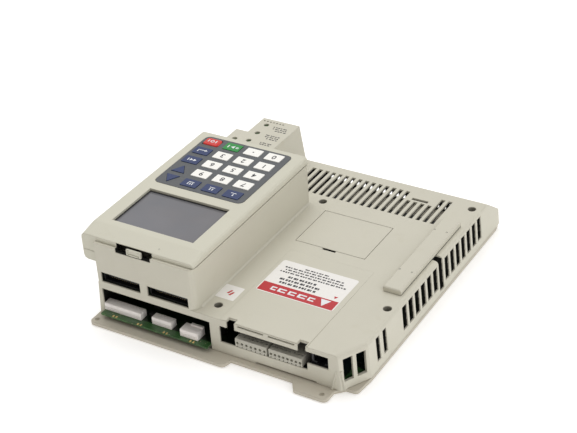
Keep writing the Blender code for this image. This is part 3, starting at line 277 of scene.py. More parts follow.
class Finish:
    """Builds one node material on a Principled shader."""

    def __init__(self, name, colour, roughness, **inputs):
        self.material = bpy.data.materials.new(name)
        self.material.use_nodes = True
        self.tree = self.material.node_tree
        self.shader = self.tree.nodes["Principled BSDF"]
        self.place = self.add("ShaderNodeTexCoord").outputs["Object"]
        self.colour = None
        self.base = colour
        self.set(self.shader, "Base Color", (*colour, 1))
        self.set(self.shader, "Roughness", roughness)
        for key, value in inputs.items():
            self.set(self.shader, key.replace("_", " "), value)

    def add(self, kind, **values):
        node = self.tree.nodes.new(kind)
        for key, value in values.items():
            setattr(node, key, value)
        return node

    def set(self, node, socket, value):
        node.inputs[socket].default_value = value

    def link(self, output, node, socket):
        self.tree.links.new(output, node.inputs[socket])

    def noise(self, scale, detail=2.0, rough=0.5, place=None):
        node = self.add("ShaderNodeTexNoise")
        self.link(place or self.place, node, "Vector")
        self.set(node, "Scale", scale)
        self.set(node, "Detail", detail)
        self.set(node, "Roughness", rough)
        return node.outputs["Fac"]

    def ramp(self, source, low, high, to_low=0.0, to_high=1.0):
        node = self.add("ShaderNodeMapRange")
        self.link(source, node, "Value")
        for socket, value in (
            ("From Min", low),
            ("From Max", high),
            ("To Min", to_low),
            ("To Max", to_high),
        ):
            self.set(node, socket, value)
        return node.outputs["Result"]

    def blend(self, mask, colour):
        """Mixes a second colour over what the surface has so far."""
        mix = self.add("ShaderNodeMix", data_type="RGBA")
        self.link(mask, mix, "Factor")
        if self.colour is None:
            self.set(mix, "A", (*self.base, 1))
        else:
            self.link(self.colour, mix, "A")
        self.set(mix, "B", (*colour, 1))
        self.colour = mix.outputs["Result"]
        self.link(self.colour, self.shader, "Base Color")
        return self

    def uneven_gloss(self, scale, low, high):
        self.link(
            self.ramp(self.noise(scale, 3), 0.3, 0.7, low, high),
            self.shader,
            "Roughness",
        )
        return self

    def bump(self, height, distance, strength=1.0, edge=0.0):
        """Fine relief, with edges softened by a radius where one is given."""
        node = self.add("ShaderNodeBump")
        self.link(height, node, "Height")
        self.set(node, "Distance", distance)
        self.set(node, "Strength", strength)
        if edge:
            soft = self.add("ShaderNodeBevel", samples=4)
            self.set(soft, "Radius", edge)
            self.link(soft.outputs["Normal"], node, "Normal")
        self.link(node.outputs["Normal"], self.shader, "Normal")
        return self


def linear(colour):
    """A screen colour of 0 to 255 as the shader's linear one."""
    out = []
    for value in colour:
        value /= 255
        out.append(value / 12.92 if value <= 0.04045 else ((value + 0.055) / 1.055) ** 2.4)
    return tuple(out)


def shade(colour, factor):
    return tuple(min(1.0, value * factor) for value in colour)


def moulded(name, colour, roughness=0.5, grain=2600, edge=0.0006, soil=(0.80, 0.77, 0.66), dark=()):
    """Satin moulded plastic: spark-eroded grain, faint flow mottling and a little soiling."""
    finish = Finish(name, colour, roughness, Specular_IOR_Level=0.35)
    finish.blend(finish.ramp(finish.noise(28, 4), 0.42, 0.75, 0, 0.35), shade(colour, 0.93))
    tinted = tuple(value * tint for value, tint in zip(colour, soil))
    finish.blend(finish.ramp(finish.noise(70, 6, 0.65), 0.58, 0.78, 0, 0.22), tinted)
    # where regions are given, shade is painted near black on the faces inside them
    if dark:
        with_painted_inside_shade(finish, dark)
    finish.uneven_gloss(45, roughness - 0.05, roughness + 0.09)
    finish.bump(finish.noise(grain, 2), 0.00004, 0.55, edge)
    return finish.material


def with_painted_inside_shade(material_finish, regions, colour=(0.012, 0.012, 0.011)):
    """Paints shade, near black, on the faces that lie inside the walls, so that the openings read
    as dark hollows.
    """
    place = material_finish.place
    total = None
    for low, high in regions:
        inside = None
        for point, way in ((low, 1), (high, -1)):
            shift = material_finish.add("ShaderNodeVectorMath", operation="SUBTRACT")
            material_finish.link(place, shift, 0)
            material_finish.set(shift, 1, tuple(point))
            split = material_finish.add("ShaderNodeSeparateXYZ")
            material_finish.link(shift.outputs["Vector"], split, "Vector")
            for axis in "XYZ":
                edge = material_finish.ramp(split.outputs[axis], 0.0, way * 0.3 * MM, 0.0, 1.0)
                if inside is None:
                    inside = edge
                    continue
                both = material_finish.add("ShaderNodeMath", operation="MULTIPLY")
                material_finish.link(inside, both, 0)
                material_finish.link(edge, both, 1)
                inside = both.outputs["Value"]
        if total is None:
            total = inside
            continue
        either = material_finish.add("ShaderNodeMath", operation="MAXIMUM")
        material_finish.link(total, either, 0)
        material_finish.link(inside, either, 1)
        total = either.outputs["Value"]
    return material_finish.blend(total, colour)


def glossy(name, colour, roughness=0.3, edge=0.0003, **inputs):
    finish = Finish(name, colour, roughness, **inputs)
    finish.blend(finish.ramp(finish.noise(160, 3), 0.4, 0.8, 0, 0.25), shade(colour, 0.8))
    finish.uneven_gloss(240, roughness - 0.05, roughness + 0.08)
    finish.bump(finish.noise(900, 3), 0.00002, 0.3, edge)
    return finish.material


def printed(name, colour, roughness=0.55):
    """Screen ink or film: a flat coat with a trace of the substrate's texture."""
    finish = Finish(name, colour, roughness)
    finish.blend(finish.ramp(finish.noise(420, 4, 0.7), 0.45, 0.8, 0, 0.3), shade(colour, 0.86))
    finish.uneven_gloss(600, roughness - 0.06, roughness + 0.08)
    finish.bump(finish.noise(3200, 2), 0.00002, 0.35)
    return finish.material


def metal(name, colour, roughness=0.3, stretch=(1, 1, 30)):
    """Bare or plated metal with drawn streaks along one axis."""
    finish = Finish(name, colour, roughness, Metallic=1.0)
    mapping = finish.add("ShaderNodeMapping")
    mapping.inputs["Scale"].default_value = stretch
    finish.link(finish.place, mapping, "Vector")
    streaks = finish.noise(120, 4, 0.6, mapping.outputs["Vector"])
    finish.blend(finish.ramp(streaks, 0.4, 0.75, 0, 0.6), shade(colour, 0.7))
    finish.link(finish.ramp(streaks, 0.3, 0.7, roughness - 0.08, roughness + 0.15), finish.shader,
                "Roughness")
    finish.bump(streaks, 0.00003, 0.3)
    return finish.material


def laminate(name, colour, dark=()):
    """Solder mask over copper: tracks show as lighter lines, and vias as small rings."""
    finish = Finish(name, colour, 0.32, Coat_Weight=0.35, Coat_Roughness=0.2)
    bright = shade(colour, 1.75)
    for scale, turn, width in ((330, 0.0, 0.10), (210, math.pi / 2, 0.14)):
        mapping = finish.add("ShaderNodeMapping")
        mapping.inputs["Rotation"].default_value = (0, 0, turn)
        finish.link(finish.place, mapping, "Vector")
        brick = finish.add("ShaderNodeTexBrick", offset=0.37, squash=1.6)
        finish.link(mapping.outputs["Vector"], brick, "Vector")
        finish.set(brick, "Scale", scale)
        finish.set(brick, "Mortar Size", width * 0.25)
        finish.set(brick, "Brick Width", 1.9)
        finish.set(brick, "Row Height", 0.34)
        area = finish.ramp(finish.noise(55 + scale / 9, 2), 0.47, 0.53)
        both = finish.add("ShaderNodeMath", operation="MULTIPLY")
        finish.link(brick.outputs["Fac"], both, 0)
        finish.link(area, both, 1)
        finish.blend(both.outputs["Value"], bright)
    vias = finish.add("ShaderNodeTexVoronoi")
    finish.link(finish.place, vias, "Vector")
    finish.set(vias, "Scale", 260)
    finish.blend(finish.ramp(vias.outputs["Distance"], 0.16, 0.12, 0, 0.8), (0.35, 0.33, 0.22))
    # shade is painted on the board where it lies inside the walls, at 0.12 of its colour
    if dark:
        with_painted_inside_shade(finish, dark, shade(colour, 0.12))
    finish.bump(finish.noise(700, 3), 0.00002, 0.4)
    return finish.material


def glass_front(name, colour):
    """The display behind its window: a grey-violet polariser, with warm and light patches that are
    painted reflections.
    """
    finish = Finish(name, colour, 0.2, Specular_IOR_Level=0.5, Coat_Weight=0.6, Coat_Roughness=0.06)
    warm = (colour[0] * 1.12, colour[1] * 1.0, colour[2] * 0.92)
    # warm and light patches: painted reflections on the window
    finish.blend(finish.ramp(finish.noise(38, 3), 0.35, 0.7, 0, 0.7), warm)
    finish.blend(finish.ramp(finish.noise(19, 2), 0.45, 0.7, 0, 0.55), shade(colour, 1.28))
    rows = finish.add("ShaderNodeTexWave", bands_direction="Y")
    finish.link(finish.place, rows, "Vector")
    finish.set(rows, "Scale", 700)
    finish.blend(finish.ramp(rows.outputs["Fac"], 0.3, 1.0, 0, 0.12), shade(colour, 0.8))
    finish.uneven_gloss(90, 0.12, 0.26)
    return finish.material


# ---------------------------------------------------------------- properties


def colour_property(name, description, value):
    return bpy.props.FloatVectorProperty(
        name=name,
        description=description,
        default=linear(value),
        subtype="COLOR",
        size=3,
        min=0.0,
        max=1.0,
    )


def length_property(name, description, millimetres):
    return bpy.props.FloatProperty(
        name=name,
        description=description,
        default=millimetres * MM,
        min=0.0,
        subtype="DISTANCE",
        unit="LENGTH",
        precision=5,
    )


class DriveColours(bpy.types.PropertyGroup):
    """Colours of the drive's finishes"""

    housing: colour_property("Housing", "Moulded cover and tower", (205, 202, 187))
    base: colour_property("Back plate", "Moulded back plate", (194, 188, 173))
    keypad: colour_property("Keypad shell", "Both halves of the keypad", (208, 206, 190))
    overlay: colour_property("Key field", "Printed film around the keys", (88, 91, 94))
    key_light: colour_property("Number keys", "Off-white keys", (250, 249, 244))
    key_blue: colour_property("Function keys", "Blue keys", (36, 54, 100))
    key_red: colour_property("Stop key", "Red key", (214, 48, 40))
    key_green: colour_property("Run key", "Green key", (30, 142, 58))
    ink: colour_property("Dark ink", "Legends and small marks", (58, 58, 62))
    display: colour_property("Display", "Display behind its window", (102, 103, 109))
    board: colour_property("Boards", "Solder mask", (50, 86, 46))
    header: colour_property("Pin headers", "White nylon", (250, 245, 241))
    terminal: colour_property("Terminals", "Light grey terminal plugs", (186, 184, 172))
    black: colour_property("Black parts", "Black mouldings", (22, 23, 25))
    label_red: colour_property("Label band", "Red print on the label", (188, 34, 42))
    label_white: colour_property("Label ground", "White film of the labels", (240, 238, 234))


class DriveSizes(bpy.types.PropertyGroup):
    """Sizes of the added pieces"""

    print_height: length_property("Print height", "How far printed marks stand proud", 0.06)
    film: length_property("Label film", "Thickness of the stuck labels", 0.15)
    panel_rise: length_property("Label panel", "How far the label panel stands proud", 0.45)
    digit: length_property("Digit height", "Height of the numbers on the keys", 5.5)
    terminal_pitch: length_property("Terminal pitch", "Distance between wire entries", 3.7)
    contact_pitch: length_property("Contact pitch", "Distance between socket contacts", 1.27)
    foot_radius: length_property("Tower foot", "Radius where the tower meets the cover", 1.5)


def colours():
    return bpy.context.scene.drive_colours


def sizes():
    return bpy.context.scene.drive_sizes


FINISHES = {}
# the side wall leans in, so its inside is taken in steps: how far right, and up to what height
INSIDE_STEPS = ((225.0, 10.0), (224.6, 16.0), (224.2, 22.0), (223.8, 28.0), (223.4, 32.6))
# the hollows of the cover, of the tower and its block, and the pocket of the latch, where shade is
# painted on the faces inside
COVER_INSIDE = (
    (at(-0.1, 1.0, 3.2), at(211.5, 229.6, 32.6)),
    (at(-0.1, 200.0, 3.2), at(222.8, 250.5, 17.0)),
    *((at(100.0, 24.0, 3.2), at(right, 229.6, top)) for right, top in INSIDE_STEPS),
)
TOWER_INSIDE = (
    (at(1.2, 1.0, 30.0), at(84.6, 169.6, 49.6)),
    (at(1.2, 6.4, 30.0), at(89.4, 169.6, 49.6)),
    (at(14.0, 172.0, 30.0), at(46.5, 224.0, 64.9)),
)
LATCH_POCKET = ((at(20.2, 0.2, 66.8), at(53.5, 8.0, 74.2)),)


def make_finishes():
    c = colours()
    FINISHES.update(
        # housing, back plate, keypad and boards get painted shade on their faces inside the hollows
        # listed above
        housing=moulded("housing_plastic", tuple(c.housing), 0.5,
                        dark=COVER_INSIDE + TOWER_INSIDE + LATCH_POCKET),
        lid=moulded("lid_plastic", tuple(c.housing), 0.5),
        base=moulded("base_plastic", tuple(c.base), 0.54, dark=COVER_INSIDE),
        keypad=moulded("keypad_plastic", tuple(c.keypad), 0.46, dark=LATCH_POCKET),
        latch=moulded("latch_plastic", tuple(c.keypad), 0.46),
        # the housing's plastic darkened to 0.42: painted shade for the inside of the screw wells
        well=moulded("well_plastic", shade(tuple(c.housing), 0.42), 0.5),
        overlay=printed("overlay_film", tuple(c.overlay), 0.5),
        light=printed("key_light_film", tuple(c.key_light), 0.5),
        blue=printed("key_blue_film", tuple(c.key_blue), 0.45),
        red=glossy("key_red_dome", tuple(c.key_red), 0.3),
        green=printed("key_green_film", tuple(c.key_green), 0.42),
        ink=printed("dark_ink", tuple(c.ink), 0.6),
        white_ink=printed("white_ink", (0.82, 0.84, 0.86), 0.6),
        display=glass_front("display_glass", tuple(c.display)),
        board=laminate("board_laminate", tuple(c.board), COVER_INSIDE),
        header=glossy("header_nylon", tuple(c.header), 0.42, Subsurface_Weight=0.1,
                      Subsurface_Radius=(0.002, 0.002, 0.002)),
        terminal=moulded("terminal_grey", tuple(c.terminal), 0.45, edge=0.0003),
        black=glossy("connector_black", tuple(c.black), 0.38),
        label_red=printed("label_red_print", tuple(c.label_red), 0.42),
        label_white=printed("label_white_film", tuple(c.label_white), 0.38),
        gold=metal("contact_gold", (0.83, 0.62, 0.26), 0.24),
        tin=metal("tinned_metal", (0.66, 0.66, 0.64), 0.35),
        steel=metal("screw_steel", (0.52, 0.51, 0.49), 0.34),
        aluminium=metal("bare_aluminium", (0.72, 0.73, 0.74), 0.36, (30, 1, 1)),
        ferrite=glossy("ferrite_core", (0.045, 0.042, 0.042), 0.55),
        sleeve=glossy("capacitor_sleeve", (0.018, 0.026, 0.075), 0.28),
        relay=glossy("relay_case", (0.03, 0.10, 0.22), 0.35),
        chip=glossy("chip_black", (0.02, 0.02, 0.021), 0.5),
        deep=glossy("deep_shadow_plastic", (0.008, 0.008, 0.009), 0.7),
    )


NODE_FINISH = {
    "housing": "housing",
    "access_door": "lid",
    "expansion_cover": "lid",
    "base_plate": "base",
    "keypad_front_shell": "keypad",
    "keypad_rear_shell": "keypad",
    "keypad_latch": "keypad",
    "key_overlay": "overlay",
    "lcd_window": "display",
    "lcd_module": "tin",
    "keypad_board": "board",
    "main_board": "board",
    "upper_board": "board",
    "indicator_board": "board",
    "keypad_plug": "black",
    "keypad_socket": "black",
    "board_link": "black",
    "serial_jack": "black",
    "port_socket_left": "black",
    "port_socket_right": "black",
    "header_motor_feedback": "header",
    "header_encoder_output": "header",
    "header_serial_link": "header",
    "terminal_plug_left": "terminal",
    "terminal_plug_right": "terminal",
    "terminal_socket_left": "terminal",
    "terminal_socket_right": "terminal",
    "bus_capacitor_1": "sleeve",
    "bus_capacitor_2": "sleeve",
    "power_transformer": "ferrite",
    "power_module": "chip",
    "heat_sink": "aluminium",
    "brake_relay": "relay",
    "processor": "chip",
    "memory_chip": "chip",
    "key_run": "green",
    "key_stop": "red",
}
BLUE_KEYS = ("key_enter", "key_escape", "key_up", "key_down", "key_f1", "key_f2", "key_f3")


def finish_of(node):
    if node in NODE_FINISH:
        return FINISHES[NODE_FINISH[node]]
    if node in BLUE_KEYS:
        return FINISHES["blue"]
    if node.startswith("key_"):
        return FINISHES["light"]
    return FINISHES["steel"]


# ---------------------------------------------------------------- marks and small parts

COVER_TOP = top_of("access_door")
WELL_RADIUS = 3.15 * MM
WELL_WALL = 0.25 * MM
GROOVE_REACH = 5.8 * MM  # half the nail groove's length
DIMPLES = ((204.9, 111.0), (215.4, 111.0), (204.9, 172.4), (215.4, 172.4))
SHADOW_RIM = 2.4 * MM  # stays on the ledge round the slot under the expansion cover
STATUS_TOP = 66.0 * MM
TOWER_RIGHT, TOWER_FAR = 90.8, 171.0
PANEL_NEAR, PANEL_FAR = (112.1, 0.25), (186.5, 104.0)
LIP_NOTCHES = ((116.9, 124.5), (177.9, 185.5))
LIP_NOTCH_Y = 5.2
POST_CLEARANCE = 10 * MM
BAND_MARGIN, BAND_TOP = 0.9, 12.4  # of the label's red band, from the label's near edge
LABEL_NEAR, LABEL_FAR = (115.0, 45.0), (182.0, 89.0)
# each line of dashes: distance in, start and end across, height, number of dashes
LABEL_LINES = (
    (16.2, 12.0, 44.0, 2.3, 13),
    (20.4, 10.0, 46.0, 2.3, 14),
    (24.6, 15.0, 40.0, 2.3, 10),
    (29.6, 5.0, 63.0, 1.5, 26),
    (32.8, 8.0, 60.0, 1.5, 24),
    (36.0, 6.0, 58.0, 1.5, 22),
    (39.0, 22.0, 44.0, 1.3, 9),
)
STATUS_LINES = (
    (220.0, 28.6, 43.0, 1.2, 6),
    (217.2, 29.4, 43.6, 1.2, 6),
    (214.4, 33.0, 44.0, 1.2, 4),
    (205.6, 29.6, 43.4, 1.2, 6),
    (202.8, 30.2, 44.2, 1.2, 6),
    (200.0, 33.0, 44.6, 1.2, 4),
    (192.6, 31.6, 43.6, 1.2, 5),
    (190.0, 32.4, 42.4, 1.2, 4),
)
KEY_SLOTS = {"key_point": "key_white", "key_run": "key_green", "key_stop": "key_red"}
# symbols as (shape, x, y, width, height) in millimetres from the key's centre, reading direction +X
SYMBOLS = {
    "legend_run": (
        "key_run",
        [("ring", -4.2, 0, 2.6, 3.8), ("wedge_r", 0.2, 0, 3.4, 4.0), ("bar", 4.2, 0, 1.1, 3.8)],
    ),
    "legend_stop": (
        "key_stop",
        [("bar", -3.6, 0, 0.9, 3.4), ("ring", 0, 0, 3.6, 3.6), ("bar", 3.6, 0, 0.9, 3.4)],
    ),
    "legend_enter": (
        "key_enter",
        [("bar", 0.8, -0.9, 6.6, 0.8), ("bar", 3.7, 0.6, 0.8, 3.0),
         ("wedge_l", -3.4, -0.9, 2.4, 3.0)],
    ),
    "legend_escape": (
        "key_escape",
        [("wedge_l", -3.2, 0, 2.8, 3.4), ("wedge_l", 0, 0, 2.8, 3.4), ("bar", 3.2, 0, 0.9, 3.4)],
    ),
    "legend_f1": ("key_f1", [("bar", -0.5, 1.0, 0.9, 2.6), ("bar", 0, -1.6, 5.0, 0.7)]),
    "legend_f2": (
        "key_f2",
        [("bar", -1.4, 1.0, 0.9, 2.6), ("bar", 1.0, 1.0, 0.9, 2.6), ("bar", 0, -1.6, 5.0, 0.7)],
    ),
    "legend_f3": (
        "key_f3",
        [
            ("bar", -2.0, 1.0, 0.9, 2.6),
            ("bar", 0, 1.0, 0.9, 2.6),
            ("bar", 2.0, 1.0, 0.9, 2.6),
            ("bar", 0, -1.6, 5.4, 0.7),
        ],
    ),
}


def chain(*acts):
    def act():
        for one in acts:
            one()

    return act


def on_rim(point, low, high, reach):
    """Whether a point lies near the outline of a box, on plan."""
    across = min(point.x - low.x, high.x - point.x)
    along_y = min(point.y - low.y, high.y - point.y)
    return min(across, along_y) < reach


def tilt(obj, fall):
    """Lays a label's parts on the panel, which falls away to the far side."""
    start = at(0, PANEL_NEAR[1], 0).y
    for vert in obj.data.vertices:
        vert.co.z -= (vert.co.y - start) * fall
    return obj


def shape_at(kind, x, y, w, h, z, height):
    """One printed shape, centred on a point, as a thin raised mesh."""
    low = Vector((x - w / 2, y - h / 2, z - height / 2))
    high = Vector((x + w / 2, y + h / 2, z + height))
    if kind == "bar":
        return cube("bar", low, high)
    if kind == "slant":
        bar = cube("slant", low, high)
        shaped(bar, ("verts", lambda v: v.co.y > y, move((h * 0.35, 0, 0))))
        return bar
    if kind in ("disc", "ring"):
        disc = cylinder("disc", (x, y, z + height / 4), w / 2, height * 1.5, UP, 20)
        if kind == "ring":
            cut(disc, cylinder("ring_cut", (x, y, z), w / 2 - 0.75 * MM, height * 6, UP, 20))
        return disc
    wedge = cube("wedge", low, high)
    squeeze = {"wedge": (1, 1), "wedge_r": (0, 1), "wedge_l": (0, -1)}[kind]
    across, way = squeeze
    for vert in wedge.data.vertices:
        if across and (vert.co.y - y) * way < 0:
            vert.co.x = x
        if not across and (vert.co.x - x) * way > 0:
            vert.co.y = y
    activate(wedge)
    bpy.ops.object.mode_set(mode="EDIT")
    bpy.ops.mesh.select_all(action="SELECT")
    bpy.ops.mesh.remove_doubles(threshold=1e-6)
    bpy.ops.object.mode_set(mode="OBJECT")
    return wedge


def turned_about(obj, centre):
    """Turns a mark half round about a point, so that it reads from the far side."""
    for vert in obj.data.vertices:
        vert.co.x = 2 * centre.x - vert.co.x
        vert.co.y = 2 * centre.y - vert.co.y
    return obj


def key_centre(key):
    low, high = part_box(key)
    return Vector(((low.x + high.x) / 2, (low.y + high.y) / 2, high.z))


def flat_mark(name, key, parts, finish):
    centre = key_centre(key)
    height = sizes().print_height
    if key == "key_stop":
        height *= 4
    shapes = [
        shape_at(kind, centre.x + x * MM, centre.y + y * MM, w * MM, h * MM, centre.z, height)
        for kind, x, y, w, h in parts
    ]
    mark = turned_about(joined(name, shapes), centre)
    slot = KEY_SLOTS.get(key, "key_blue")
    return done(mark, FINISHES[finish], key + "_cap", slot, smooth=0)


def number(name, text, key, height, finish):
    centre = key_centre(key)
    deselect()
    bpy.ops.object.text_add()
    obj = bpy.context.object
    obj.name = name
    obj.data.body = text
    obj.data.size = height * 1.38
    obj.data.align_x = "CENTER"
    obj.data.resolution_u = 4
    obj.data.extrude = sizes().print_height
    obj.data.offset = 0.0001
    activate(obj)
    bpy.ops.object.convert(target="MESH")
    obj = bpy.context.object
    obj.name = obj.data.name = name
    ys = [vert.co.y for vert in obj.data.vertices]
    obj.rotation_euler = Euler((0, 0, math.pi))
    obj.location = centre + Vector((0, (min(ys) + max(ys)) / 2, 0))
    settle(obj)
    return done(obj, FINISHES[finish], key + "_cap", "key_white", smooth=0)


def dashes(left, right, y, height, count, seed):
    """A line of short dashes of uneven length, standing for words nobody can read."""
    parts, x = [], left
    step = (right - left) / count
    for index in range(count):
        share = 0.66 + 0.22 * math.sin(index * 2.7 + seed * 1.3)
        parts.append(("bar", x + step * share / 2, y, step * share, height))
        x += step
    return parts


def marks_on(name, parts, z, height, finish, fall=0.0, hollow=False):
    shapes = []
    for kind, x, y, w, h in parts:
        spot = at(x, y, 0)
        shape = shape_at(kind, spot.x, spot.y, w * MM, h * MM, z, height)
        if hollow and kind == "bar":
            gap_low = (spot.x - w * 0.22 * MM, spot.y - h * 0.2 * MM, z - MM)
            gap_high = (spot.x + w * 0.6 * MM, spot.y + h * 0.2 * MM, z + MM)
            cut(shape, cube("gap", gap_low, gap_high))
        shapes.append(shape)
    mark = joined(name, shapes)
    if fall:
        tilt(mark, fall)
    return done(mark, FINISHES[finish], "drive", "housing_plastic", smooth=0)


def near_post(x, y):
    """Whether a point on the board lies by one of the posts or screws that pass it."""
    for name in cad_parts:
        if name.startswith("housing_screw"):
            low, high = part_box(name)
            middle = (low + high) / 2
            if max(abs(x - middle.x), abs(y - middle.y)) < POST_CLEARANCE:
                return True
    return False


def resistor(top):
    part = cube("resistor", (-1.0 * MM, -0.6 * MM, top - 0.02 * MM),
                (1.0 * MM, 0.6 * MM, top + 0.55 * MM))
    return round_edges(part, 0.1 * MM, 1)


def small_chip(top):
    part = cube("chip", (-3.0 * MM, -1.9 * MM, top - 0.02 * MM),
                (3.0 * MM, 1.9 * MM, top + 1.5 * MM))
    shaped(part, ("faces", facing(UP), inset(0.3 * MM, 0.12 * MM)))
    return part


def small_can(top):
    can = cylinder("can", (0, 0, top + 2.2 * MM), 2.0 * MM, 4.4 * MM, UP, 16)
    shaped(can, ("faces", facing(UP), chain(inset(0.25 * MM), inset(0.2 * MM, -0.15 * MM))))
    return can


# ---------------------------------------------------------------- studio

NEAR_SKY = (0.34, 0.315, 0.29, 1)
FAR_SKY = (0.90, 0.90, 0.90, 1)
# soft lights: name, place, size and power in watts
LAMPS = (
    ("key_softbox", (-0.35, 0.25, 1.25), 0.9, 6.1),
    ("right_softbox", (1.1, -0.3, 0.7), 0.8, 3.0),
    ("near_softbox", (0.1, -1.3, 0.5), 0.7, 0.35),
)
CAMERA_PLACE = (0.52421, -0.82469, 0.67699)
CAMERA_ANGLES = (32.649, 32.489, -3.854)  # azimuth, elevation and roll in degrees
CAMERA_LENS = 91.1


def sky():
    """Even light from all round, dimmer and a little warmer from the near side."""
    world = bpy.data.worlds.new("studio")
    world.use_nodes = True
    nodes, links = world.node_tree.nodes, world.node_tree.links
    direction = nodes.new("ShaderNodeTexCoord")
    split = nodes.new("ShaderNodeSeparateXYZ")
    links.new(direction.outputs["Generated"], split.inputs["Vector"])
    share = nodes.new("ShaderNodeMapRange")
    share.inputs["From Min"].default_value = -1.0
    links.new(split.outputs["Y"], share.inputs["Value"])
    tint = nodes.new("ShaderNodeValToRGB")
    tint.color_ramp.elements[0].color = NEAR_SKY
    tint.color_ramp.elements[1].color = FAR_SKY
    links.new(share.outputs["Result"], tint.inputs["Fac"])
    links.new(tint.outputs["Color"], nodes["Background"].inputs["Color"])
    return world


# ---------------------------------------------------------------- operators


class DRIVE_OT_stage(bpy.types.Operator):
    """Lay the floor, hang the soft lights and set up the camera"""

    bl_idname = "drive.stage"
    bl_label = "Stage"

    def execute(self, context):
        deselect()
        bpy.ops.mesh.primitive_plane_add(size=6, location=(0, 0, -0.0006))
        floor = bpy.context.object
        floor.name = floor.data.name = "floor"
        finish = Finish("floor_paper", (0.95, 0.95, 0.95), 0.8, Emission_Strength=0.3)
        finish.bump(finish.noise(300, 3), 0.0001, 0.1)
        floor.data.materials.append(finish.material)

        context.scene.world = sky()
        context.scene.view_settings.view_transform = "Standard"
        for name, place, size, power in LAMPS:
            deselect()
            bpy.ops.object.light_add(type="AREA", location=place)
            lamp = bpy.context.object
            lamp.name = lamp.data.name = name
            lamp.data.size = size
            lamp.data.energy = power
            aim = Vector((0, 0, 0.02)) - Vector(place)
            lamp.rotation_euler = aim.to_track_quat("-Z", "Y").to_euler()

        azimuth, elevation, roll = (math.radians(v) for v in CAMERA_ANGLES)
        back = Vector(
            (
                math.sin(azimuth) * math.cos(elevation),
                -math.cos(azimuth) * math.cos(elevation),
                math.sin(elevation),
            )
        )
        right = Vector((math.cos(azimuth), math.sin(azimuth), 0))
        above = back.cross(right)
        side = math.cos(roll) * right + math.sin(roll) * above
        head = -math.sin(roll) * right + math.cos(roll) * above
        deselect()
        bpy.ops.object.camera_add(location=CAMERA_PLACE)
        camera = bpy.context.object
        camera.name = camera.data.name = "studio_camera"
        turn = Matrix((side, head, back)).transposed()
        camera.rotation_euler = turn.to_euler()
        camera.data.lens = CAMERA_LENS
        camera.data.sensor_width = 36
        camera.data.clip_start = 0.01
        context.scene.camera = camera
        return {"FINISHED"}


class DRIVE_OT_finishes(bpy.types.Operator):
    """Give every frame node its finish"""

    bl_idname = "drive.finishes"
    bl_label = "Finishes"

    def execute(self, context):
        make_finishes()
        for name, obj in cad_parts.items():
            obj.data.materials.clear()
            obj.data.materials.append(finish_of(name))
        return {"FINISHED"}


class DRIVE_OT_key_legends(bpy.types.Operator):
    """Print the numbers and symbols on the keys, reading from the far side"""

    bl_idname = "drive.key_legends"
    bl_label = "Key legends"

    def execute(self, context):
        for key in "0123456789":
            number(f"legend_{key}", key, f"key_{key}", sizes().digit, "ink")
        flat_mark("legend_point", "key_point", [("disc", 0, 0, 1.5, 1.5)], "ink")
        for name, (key, parts) in SYMBOLS.items():
            flat_mark(name, key, parts, "white_ink")
        return {"FINISHED"}


class DRIVE_OT_stop_dome(bpy.types.Operator):
    """Make the stop key's soft domed cap"""

    bl_idname = "drive.stop_dome"
    bl_label = "Stop key"

    def execute(self, context):
        low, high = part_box("key_stop")
        skirt = 0.7 * MM
        low = Vector((low.x + skirt, low.y + skirt, low.z))
        high = Vector((high.x - skirt, high.y - skirt, high.z))
        dome = cube("stop_key_dome", low, high)
        shaped(
            dome,
            ("edges", along(UP), bevel(2.6 * MM, 5)),
            ("faces", facing(UP), inset(0.9 * MM)),
        )
        top = high.z
        shaped(
            dome,
            (
                "verts",
                lambda v: v.co.z > top - 1e-6 and on_rim(v.co, low, high, 0.9 * MM),
                move((0, 0, -0.75 * MM)),
            ),
        )
        round_edges(dome, 0.5 * MM, 3, 20)
        done(dome, FINISHES["red"], "key_stop_cap", "key_red", "key_stop", smooth=60)
        return {"FINISHED"}


